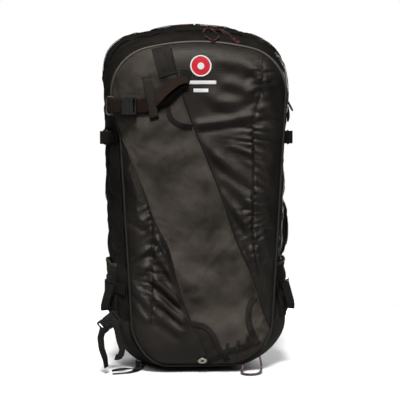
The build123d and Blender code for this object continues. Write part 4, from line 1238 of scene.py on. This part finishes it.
def make_side(side, name):
    ys, zs = np.linspace(-POCKET_HALF, POCKET_HALF, 61), np.linspace(POCKET_LOW, POCKET_TOP, 40)
    points = np.zeros((len(zs), len(ys), 3))
    for i, z in enumerate(zs):
        for j, y in enumerate(ys):
            points[i, j] = on_side(side, y, z, pocket_lift(y, z))[0]
    uv = np.stack(np.meshgrid(ys, zs), -1) * MM
    pocket = paint(outward(grid(f"pocket_{name}", points, uv)), STRETCH)
    thick = pocket.modifiers.new("Solidify", "SOLIDIFY")
    thick.thickness = 1.1 * MM
    thick.offset = 0
    apply_modifiers(pocket)
    rim = points[-1] / MM
    hem = swept(f"pocket_hem_{name}", rim, (side, 0, 0), web_profile(7, 2.4, -1.0), HEAVY)
    web = []
    line, normals = side_line(side, [-79, 66], [HIGH_STRAP_Z] * 2, 2.3)
    web.append(swept(f"strap_up_{name}", line, normals, web_profile(20, WEBBING), WEB))
    stitch("pack", line[-5:] + normals[-5:] * 1.7, normals[-5:])
    yz = np.linspace(-78, 66, 60)
    lifts = pocket_lift(np.clip(yz, -POCKET_HALF, POCKET_HALF), LOW_STRAP_Z) + 1.4
    low, _ = laid([on_side(side, y, LOW_STRAP_Z, lift) for y, lift in zip(yz, lifts)])
    web.append(swept(f"strap_low_{name}", low, (side, 0, 0), web_profile(20, WEBBING), WEB))
    x_up, x_low = abs(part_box(f"upper_{name}_lock")[side > 0].x) / MM, 163.6
    reach = x_up + (0.5 if side > 0 else 5.5)
    z = HIGH_STRAP_Z
    tab = fillet_line([(side * (x_up - 15), -61.8, z), (side * reach, -61.2, z), (side * reach, -64.2, z),
                       (side * (x_up - 12), -64.0, z)], [1.3, 1.3], 1.0)
    web.append(swept(f"tab_up_{name}", tab, (0, 0, 1), web_profile(1.3, 23, -11.5), WEB))
    tail = fillet_line([(side * (x_low - 6), -66, 158), (side * (x_low - 1), -67, 140),
                        (side * (x_low + 5), -66.5, 118), (side * (x_low + 4), -65.6, 111)], [20, 20], 2.0)
    web.append(swept(f"tail_low_{name}", tail, (0.25 * side, -1, 0.1), web_profile(15, 2.4, -1.2), TAPE))
    return [pocket, hem], web


def make_sides():
    pockets, webs = [], []
    for side, name in ((-1, "left"), (1, "right")):
        a, b = make_side(side, name)
        pockets += a
        webs += b
    finish_piece(join("side_stretch_pockets", pockets), "pack", "stretch_fabric", "side_pockets")
    finish_piece(join("compression_straps", webs), "pack", "webbing", "compression_webbing")


def make_leg_strap():
    y = -91.5
    hang = fillet_line([(-171, y, 84), (-176, y, 66), (-174, y - 1, 46), (-168, y, 28), (-166, y + 2, 12)],
                       [12, 24, 24], 2.0)
    turn = np.linspace(0, 0.7, len(hang))[:, None]
    facing = (1 - turn) * (0, -1, 0) + turn * (1, -0.3, 0)
    inner = fillet_line([(-168, y + 4, 84), (-158, y + 5, 92), (-147, y + 6, 84), (-143, y + 6, 62),
                         (-137, y + 6, 42), (-143, y + 7, 27), (-150, y + 6, 30)], [8, 10, 14, 14, 6], 2.0)
    floor = smooth_line([(-156, -95, 7), (-142, -93, 9), (-126, -86, 9), (-112, -62, 3), (-104, -20, 1.2),
                         (-102, 40, 1.2), (-94, 105, 1.2)], 60)
    parts = [ribbon("leg_hang", hang, facing, 12),
             ribbon("leg_inner", inner, (0, -1, 0.3), 11),
             swept("leg_floor", floor, (0, 0, 1), web_profile(16, 1.4, -1.1), WEB)]
    finish_piece(join("leg_strap", parts), "pack", "webbing", "leg_strap_webbing")


make_ski_strap()
make_front_webbing()
make_sides()
make_leg_strap()


# ---------------------------------------------------------------- the wearer's side
def rim_fill(name, outline, depth, rings, material):
    """A sheet inside a closed outline; depth gives y from the share of the way to the rim."""
    shares = np.sin(np.linspace(0.02, 1, rings) * pi / 2)
    xz = MIDDLE + (outline - MIDDLE) * shares[:, None, None]
    y = np.array([depth(s) for s in shares])
    y = np.broadcast_to(y[:, None], xz.shape[:2])
    points = np.stack([xz[..., 0], y, xz[..., 1]], -1)
    obj = grid(name, points * MM, xz * MM, wrap=True)
    return paint(obj, material)


def pad_mesh(name, x, z, y, thick, corner, channels, material):
    """A foam pad against the back: crowned, channelled, with a flat side towards the pack."""
    cols, rows = 44, 72
    half = np.array([(x[1] - x[0]) / 2, (z[1] - z[0]) / 2])
    centre = np.array([(x[0] + x[1]) / 2, (z[0] + z[1]) / 2])
    u = np.sin(np.linspace(-1, 1, cols) * pi / 2)
    v = np.sin(np.linspace(-1, 1, rows) * pi / 2)
    uu, vv = np.meshgrid(u, v)
    px, pz = uu * half[0], vv * half[1]
    over_x = np.maximum(np.abs(px) - (half[0] - corner), 0)
    over_z = np.maximum(np.abs(pz) - (half[1] - corner), 0)
    far = np.hypot(over_x, over_z)
    pull = np.where((over_x > 0) & (over_z > 0) & (far > corner), corner / np.maximum(far, 1e-6), 1)
    px = np.sign(px) * (np.minimum(np.abs(px), half[0] - corner) + over_x * pull)
    pz = np.sign(pz) * (np.minimum(np.abs(pz), half[1] - corner) + over_z * pull)
    inside = np.minimum(half[0] - np.abs(px), half[1] - np.abs(pz))
    rim = np.minimum(1, np.maximum(corner - np.hypot(over_x, over_z), inside) / 13.0)
    rise = thick * (0.22 + 0.78 * np.sqrt(np.clip(1 - (1 - np.clip(rim, 0, 1)) ** 2, 0, 1)))
    for at in channels:
        rise -= 0.42 * thick * np.exp(-((pz - at) / 4.0) ** 2) * np.clip(inside / 10, 0, 1)
    top = np.stack([centre[0] + px, y + rise, centre[1] + pz], -1)
    obj = grid(name, top * MM, np.stack([px, pz], -1) * MM)
    edge = np.zeros((rows, cols), bool)
    edge[[0, -1]] = edge[:, [0, -1]] = True
    for at in channels:
        edge |= np.abs(pz - at) < 2.5
    cloth(obj, edge.ravel(), 10, -0.02, -1.2, bend=1.0, cap=1.6 * MM)
    co = places(obj).reshape(rows, cols, 3) / MM
    bpy.data.objects.remove(obj)
    co[..., 1] = np.clip(co[..., 1], y + 0.1, y + thick)
    loop = np.vstack([co[0], co[1:, -1], co[-1, -2::-1], co[-2:0:-1, 0]])
    back = loop.copy()
    back[:, 1] = y
    count = rows * cols
    verts = np.vstack([co.reshape(-1, 3), back])
    idx, faces = lattice(rows, cols)
    faces = faces.tolist()
    edge_idx = np.r_[idx[0], idx[1:, -1], idx[-1, -2::-1], idx[-2:0:-1, 0]]
    n = len(edge_idx)
    faces += [(edge_idx[k], edge_idx[(k + 1) % n], count + (k + 1) % n, count + k) for k in range(n)]
    faces.append(tuple(range(count, count + n)))
    pad = new_object(name, verts * MM, faces)
    set_uv(pad, np.vstack([np.stack([px, pz], -1).reshape(-1, 2), loop[:, ::2] - centre]) * MM)
    paint(outward(pad), material)
    line = loop + (0, 0.6, 0)
    keep = np.r_[True, np.linalg.norm(np.diff(line, axis=0), axis=1) > 0.3]
    line = resample(np.vstack([line[keep], line[:1]]), n)[:-1]
    piping = swept(name + "_binding", line, (0, 1, 0), round_profile(1.5, 8), WEB, closed=True)
    return join(name, [pad, piping])


def make_back():
    rim = full_outline(section_at(BACK_Y), -2.0)
    wall = rim_fill("back_wall_mesh", rim, lambda s: 97.2 + 1.4 * (1 - s**4), 44, MESH)
    hem_line = np.insert(full_outline(section_at(BACK_Y), -1.0), 1, BACK_Y - 0.6, axis=1)
    hem = swept("back_hem", hem_line, (0, 1, 0), web_profile(9, 1.2, -0.6), WEB, closed=True)
    finish_piece(join("back_wall_cover", [wall, hem]), "pack", "lining", "back_wall")
    y = BACK_Y + 1.3
    pads = [("back_pad_right", (16, 96), (196, 512), 13.6, (-96, -32, 32, 96)),
            ("back_pad_left", (-96, -16), (196, 512), 13.6, (-96, -32, 32, 96)),
            ("lumbar_pad", (-92, 92), (62, 176), 16.6, (0,))]
    for k, (name, x, z, thick, channels) in enumerate(pads):
        pad = pad_mesh(name, x, z, y, thick, 16.0, channels, MESH)
        finish_piece(pad, "pack", "padding", *(["back_pads"] if k == 0 else []))


STRAP_INNER = [(20, 585), (28, 540), (40, 490), (40, 390), (52, 330), (78, 275), (84, 240)]
STRAP_OUTER = [(82, 585), (92, 540), (100, 490), (103, 390), (122, 330), (130, 275), (128, 240)]
STRAP_LINE = [(96, 542), (120, 572), (146, 572), (160, 530), (160, 330), (148, 292), (126, 258)]
STRAP_THICK = 11.4


def strap_stations():
    """Middle line of the right shoulder strap, its width and its outward direction at each station, in mm."""
    yz = fillet_line(STRAP_LINE, [10, 14, 18, 40, 30], 3.5)
    inner, outer = smooth_line(STRAP_INNER, 90)[::-1], smooth_line(STRAP_OUTER, 90)[::-1]
    low = np.interp(yz[:, 1], inner[:, 1], inner[:, 0])
    high = np.interp(yz[:, 1], outer[:, 1], outer[:, 0])
    line = np.stack([(low + high) / 2, yz[:, 0], yz[:, 1]], 1)
    t = unit(np.gradient(yz, axis=0))
    out = np.stack([0 * t[:, 0], -t[:, 1], t[:, 0]], 1)
    return line, high - low, out


def flip(line, side):
    return np.asarray(line, float) * (side, 1, 1)


def line_inner_faces(pad, line, out, material):
    """Gives the wearer's side of a pad its own material."""
    pad.data.materials.append(material)
    normals = np.array([tuple(p.normal) for p in pad.data.polygons])
    centres = np.array([tuple(p.center) for p in pad.data.polygons]) / MM
    near = np.linalg.norm(centres[:, None] - line[None], axis=-1).argmin(1)
    inward = (normals * out[near]).sum(1) < -0.2
    pad.data.polygons.foreach_set("material_index", inward.astype(np.int32))


def make_shoulder_straps():
    line, width, out = strap_stations()
    end = np.clip(np.minimum(np.arange(len(line)), np.arange(len(line))[::-1]) / 5.0, 0, 1)
    ends = np.sqrt(1 - (1 - end) ** 2)
    for side, name in ((-1, "left"), (1, "right")):
        profiles = [pillow_profile(w * (0.8 + 0.2 * e), STRAP_THICK * (0.45 + 0.55 * e))
                    for w, e in zip(width, ends)]
        pad = swept(f"pad_{name}", flip(line, side), out, profiles, NYLON)
        line_inner_faces(pad, flip(line, side), out, MESH)
        parts = [pad]
        t = tangents(line)
        across = np.cross(t, out)
        for edge in (-1, 1):
            border = line + across * (edge * (width * (0.8 + 0.2 * ends) / 2 - 0.6))[:, None]
            parts.append(swept("edge", flip(border[1:-1], side), out[1:-1], round_profile(1.5, 8), WEB))
            inside = line + across * (edge * (width / 2 - 6))[:, None] + out * STRAP_THICK * 0.44
            stitch("pack", flip(inside[6:-6], side), out[6:-6])
        lane = (line[:, 2] > 330) & (line[:, 2] < 536) & (line[:, 1] > 130)
        chain = line[lane] + out[lane] * (STRAP_THICK / 2 - 0.1)
        chain[:, 0] = np.where(side > 0, 84.0, 54.0)
        parts.append(swept("daisy", flip(chain, side), out[lane], web_profile(11, WEBBING), WEB))
        for k in range(6, len(chain) - 4, 9):
            tack = np.stack([chain[k] + (dx, 1.7, 0) for dx in (-5, 5)])
            for lift in (-0.8, 0.8):
                stitch("pack", flip(tack + (0, 0, lift), side), (0, 1, 0), 1.4, 1.1)
        rail = np.array([(70, 166.0, z) for z in np.linspace(401, 499, 30)])
        parts.append(swept("rail", flip(rail, side), (0, 1, 0), web_profile(5.6, 2.8), PLASTIC))
        obj = finish_piece(join(f"shoulder_pad_{name}", parts), "pack", "padding", f"shoulder_strap_{name}")


def make_harness_webbing():
    parts = []
    for side in (-1, 1):
        lifter = fillet_line([(52, 101.4, 602), (52, 121, 591), (52, 143, 584)], [30], 2.5)
        parts.append(ribbon("lifter", flip(lifter, side), (0, 0.5, 0.9), 20))
        for edge in (-8, 8):
            stitch("pack", flip(lifter + (edge, 0.7, 1.0), side), (0, 0.5, 0.9))
        low = smooth_line([(107, 129, 250), (118, 122, 234), (134, 112, 208), (147, 103.6, 188)], 30)
        parts.append(ribbon("low", flip(low, side), (0.3 * side, 1, 0.45), 20))
        tail = smooth_line([(112, 141, 240), (119, 139, 214), (121, 137, 186), (120, 136.5, 160)], 30)
        parts.append(swept("tail", flip(tail, side), (0.2 * side, 1, 0.1), web_profile(18, 1.4, -0.7), WEB))
        stub = np.array([(39, y, 594) for y in np.linspace(100.3, 115.8, 10)])
        parts.append(swept("stub", flip(stub, side), (0, 0, 1), web_profile(4.8, 12, -6), WEB))
    finish_piece(join("harness_webbing", parts), "pack", "webbing", "shoulder_webbing")
    loop = fillet_line([(-34, 112, 594), (-32, 130, 594), (-16, 142, 594), (16, 142, 594), (32, 130, 594),
                        (34, 112, 594)],
                       [12, 14, 14, 12], 2.0)
    t = tangents(loop)
    out = np.cross(t, (0, 0, -1))
    grip = np.clip(1 - (np.abs(loop[:, 0]) / 22) ** 4, 0, 1)
    profiles = [pillow_profile(18 - 3.5 * g, 3.8 + 3.2 * g, 22, 5.0, 3.0) for g in grip]
    handle = swept("haul_loop_webbing", loop, out, profiles, WEB)
    for edge in (-6, 6):
        stitch("haul_loop", loop[2:-2] + out[2:-2] * (1.8 + 1.2 * grip[2:-2, None]) + (0, 0, edge), out[2:-2])
    finish_piece(handle, "haul_loop", "webbing", "haul_loop")


STERNUM_Y, STERNUM_Z = 171.5, 455


def make_sternum():
    y, z = STERNUM_Y, STERNUM_Z
    right = smooth_line([(4.5, y + 5.1, z), (20, y + 5.4, z), (40, y + 5.2, z), (58, y + 3.9, z),
                         (66, y + 3.0, z)], 40)
    left = smooth_line([(-66, y + 1.4, z), (-58, y, z), (-44, y, z), (-31, y, z)], 24)
    parts = [ribbon("right", right, (0, 1, 0), 18),
             ribbon("left", left, (0, 1, 0), 18)]
    for edge in (-7, 7):
        stitch("sternum_strap", right[2:] + (0, 0.9, edge), (0, 1, 0))
    finish_piece(join("sternum_web", parts), "sternum_strap", "webbing", "sternum_webbing")


HIP_LINE = [(132, 111), (150, 152), (140, 196), (100, 222)]


def make_hip_belt():
    xy = fillet_line(HIP_LINE, [28, 32], 3.0)
    t = unit(np.gradient(xy, axis=0))
    out = np.stack([t[:, 1], -t[:, 0], 0 * t[:, 0]], 1)
    along = np.linspace(0, 1, len(xy))
    low = np.interp(xy[:, 1], [91, 170, 240], [73, 75, 94])
    high = np.interp(xy[:, 1], [91, 170, 240], [161, 159, 140])
    line = np.stack([xy[:, 0], xy[:, 1], (low + high) / 2], 1)
    end = np.clip(np.minimum(np.arange(len(xy)) + 3, np.arange(len(xy))[::-1]) / 5.0, 0, 1)
    ends = np.sqrt(1 - (1 - end) ** 2)
    for side, name in ((-1, "left"), (1, "right")):
        body = f"hip_{name}"
        profiles = [pillow_profile((b - a) * (0.86 + 0.14 * e), 13.4 * (0.5 + 0.5 * e), 36, 5.0, 2.0)
                    for a, b, e in zip(low, high, ends)]
        wing = swept(f"wing_{name}", flip(line, side), flip(out, side), profiles, NYLON)
        line_inner_faces(wing, flip(line, side), flip(out, side), MESH)
        parts = [wing]
        for edge in (-1, 1):
            reach = (high - low) * (0.86 + 0.14 * ends) / 2 - 0.8
            border = line + np.outer(edge * reach, (0, 0, 1))
            parts.append(swept("edge", flip(border[1:-1], side), flip(out[1:-1], side), round_profile(1.6, 8),
                               WEB))
        band = line + out * 6.3
        parts.append(swept("band", flip(band[8:], side), flip(out[8:], side), web_profile(24, WEBBING), WEB))
        for edge in (-10, 10):
            stitch(body, flip(band[8:] + out[8:] * 1.6 + (0, 0, edge), side), flip(out[8:], side))
        pocket = line[9:-9] + out[9:-9] * 6.0 + (0, 0, -17)
        parts.append(swept("pocket_zip", flip(pocket, side), flip(out[9:-9], side), web_profile(7, 1.6),
                           TAPE))
        obj = finish_piece(join(f"hip_pad_{name}", parts), body, "padding", f"hip_wing_{name}")
        strip = smooth_line([(104, 226.4, 117), (92, 228.6, 117), (78, 229, 117), (66, 229, 117)], 24)
        tail = smooth_line([(66, 231.4, 117), (84, 232.0, 117), (98, 231.2, 116), (104, 230.8, 112)], 24)
        webs = [ribbon("strip", flip(strip, side), (0, 1, 0), 24),
                swept("hip_tail", flip(tail, side), (0.05 * side, 1, 0), web_profile(24, 1.3, -0.6), WEB)]
        finish_piece(join(f"hip_web_{name}", webs), body, "webbing", f"hip_webbing_{name}")


# ---------------------------------------------------------------- inside the pack
def make_airbag():
    """The airbag, pleated into the rim behind its cover."""
    ring = full_outline(section_at(85), -30.0)
    keep = ring[:, 1] > 212
    line = resample(np.insert(ring[keep], 1, 71.0, axis=1), 150)
    t = tangents(line)
    out = np.stack([t[:, 2], 0 * t[:, 0], -t[:, 0]], 1)
    a = turns(60)
    pleats = 1 - 0.16 * (0.5 + 0.5 * np.cos(a * 10))
    base = pillow_profile(1, 1, 60, 4, 4)
    profiles = [base * (25, 41) * pleats[:, None] * (1 + 0.02 * np.sin(k * 0.55)) for k in range(len(line))]
    bundle = swept("airbag_bundle", line, out, profiles, AIRBAG)
    parts = [bundle]
    for k in range(8, 150, 22):
        across = np.cross(t[k], out[k])
        tie = line[k] + np.outer(np.cos(a), across) * 12.6 + np.outer(np.sin(a), out[k]) * 20.4
        parts.append(swept("tie", tie, t[k], web_profile(6, 0.8), WEB, closed=True))
    finish_piece(join("airbag_pleated", parts), "pack", "airbag_fabric", "airbag_folded")


AIRBAG = woven("airbag fabric", (0.42, 0.05, 0.01), (0.62, 0.1, 0.02), (0.45, 0.6), 0.0005, 0.0002)
EYELET_METAL = metal("eyelet", (0.85, 0.78, 0.66), 0.3)
ALUMINIUM = metal("cylinder aluminium", (0.6, 0.61, 0.63), 0.32)
BRASS = metal("valve brass", (0.72, 0.52, 0.22), 0.3)
STAY = metal("stay aluminium", (0.5, 0.5, 0.52), 0.4)
NEEDLE = plastic("gauge needle", (0.5, 0.02, 0.02), 0.4)
TRIGGER = plastic("trigger handle", (0.62, 0.02, 0.015), 0.42)
SHEET = plastic("frame sheet", (0.03, 0.03, 0.03), 0.5)
INFLATOR = plastic("inflator", (0.02, 0.02, 0.022), 0.4)
HOSE = plastic("hose rubber", (0.012, 0.012, 0.012), 0.6)
CABLE = plastic("cable housing", (0.01, 0.01, 0.01), 0.35)

CAD_FINISH = {
    PLASTIC: ["upper_left_lock", "upper_right_lock", "fixed_locks", "sternum_clips", "sternum_buckle_female",
              "sternum_buckle_male", "hip_buckle_female", "hip_buckle_male", "ski_buckle_female",
              "ski_buckle_male", "leg_buckle_female", "leg_buckle_male", "handle_holder"],
    SLIDER: ["main_slider_left", "main_slider_right", "airbag_slider", "side_slider_front",
             "side_slider_back"],
    EYELET_METAL: ["eyelet"],
    ALUMINIUM: ["gas_cylinder"],
    HOSE: ["inflation_hose", "cylinder_bands"],
    BRASS: ["valve_body", "release_lever"],
    NEEDLE: ["gauge_needle"],
    INFLATOR: ["inflator"],
    TRIGGER: ["trigger_handle"],
    CABLE: ["trigger_cable"],
    SHEET: ["frame_sheet"],
    STAY: ["frame_stays"],
}


def finish_cad_nodes():
    for material, nodes in CAD_FINISH.items():
        for node in nodes:
            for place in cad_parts[node].material_slots:
                place.material = material


make_back()
make_shoulder_straps()
make_harness_webbing()
make_sternum()
make_hip_belt()
make_airbag()
finish_cad_nodes()


# ---------------------------------------------------------------- floor, light and camera
FLOOR_RADIUS, FLOOR_SIDES = 0.8, 96
FLOOR_TONES = 0.3, 0.92  # how bright the floor is for the light it throws back, and for the eye
SKY = 0.06  # strength of the even light from all round


def make_stage():
    rim = [(FLOOR_RADIUS * cos(a), FLOOR_RADIUS * sin(a), 0) for a in turns(FLOOR_SIDES)]
    floor = new_object("floor", rim, [tuple(range(FLOOR_SIDES))], smooth=False)
    n = Nodes("floor", (0.9, 0.9, 0.9), 0.75)
    seen = n.add("LightPath").outputs["Is Camera Ray"]
    mottle = n.spread(n.noise(n.coordinates("Object"), 3.0), 0.97, 1.0)
    paint(floor, n.finish(n.maths("MULTIPLY", n.spread(seen, *FLOOR_TONES), mottle)))
    world = bpy.data.worlds.new("studio")
    world.use_nodes = True
    tree = world.node_tree
    glow = tree.nodes["Background"]
    glow.inputs["Color"].default_value = (1, 1, 1, 1)
    glow.inputs["Strength"].default_value = SKY
    backdrop = tree.nodes.new("ShaderNodeBackground")
    backdrop.inputs["Color"].default_value = (1, 1, 1, 1)
    rays, mix = tree.nodes.new("ShaderNodeLightPath"), tree.nodes.new("ShaderNodeMixShader")
    tree.links.new(rays.outputs["Is Camera Ray"], mix.inputs["Fac"])
    tree.links.new(glow.outputs[0], mix.inputs[1])
    tree.links.new(backdrop.outputs[0], mix.inputs[2])
    tree.links.new(mix.outputs[0], tree.nodes["World Output"].inputs["Surface"])
    bpy.context.scene.world = world
    bpy.context.scene.view_settings.view_transform = "Standard"


def aimed(name, data, position, target):
    """Puts a light or the camera at a place, looking at a target."""
    obj = linked(name, data)
    obj.location = position
    obj.rotation_euler = (Vector(target) - Vector(position)).to_track_quat("-Z", "Y").to_euler()
    return obj


def light(kind, name, position, target, energy):
    data = bpy.data.lights.new(name, kind)
    data.energy = energy
    aimed(name, data, position, target)
    return data


def make_lights():
    light("SUN", "sun", (-0.2, -1.6, 2.4), (0, 0, 0), 4.2).angle = radians(16)
    light("AREA", "sheen", (-0.7, -1.6, 1.3), (0, 0, 0.35), 7.5).size = 0.7
    light("AREA", "back", (0.6, 2.5, 0.45), (0, 0, 0.3), 70).size = 1.2


AZIMUTH, ELEVATION, DISTANCE = radians(-4.0), radians(4.5), 2.6
AIM = Vector((0.0064, -0.02, 0.305))
HALF_WIDTH = 0.351  # half of what the picture spans at the front of the bag
FRONT_NEARER = 0.1  # how much nearer than the aim the front is


def make_camera():
    back = Vector((sin(AZIMUTH) * cos(ELEVATION), -cos(AZIMUTH) * cos(ELEVATION), sin(ELEVATION)))
    data = bpy.data.cameras.new("camera")
    data.sensor_width = 36
    data.lens = data.sensor_width / 2 * (DISTANCE - FRONT_NEARER) / HALF_WIDTH
    bpy.context.scene.camera = aimed("camera", data, AIM + back * DISTANCE, AIM)


make_threads()
make_stage()
make_lights()
make_camera()


# ---------------------------------------------------------------- corners of a box
def corners(box):
    return [list(box[0]), list(box[1])]
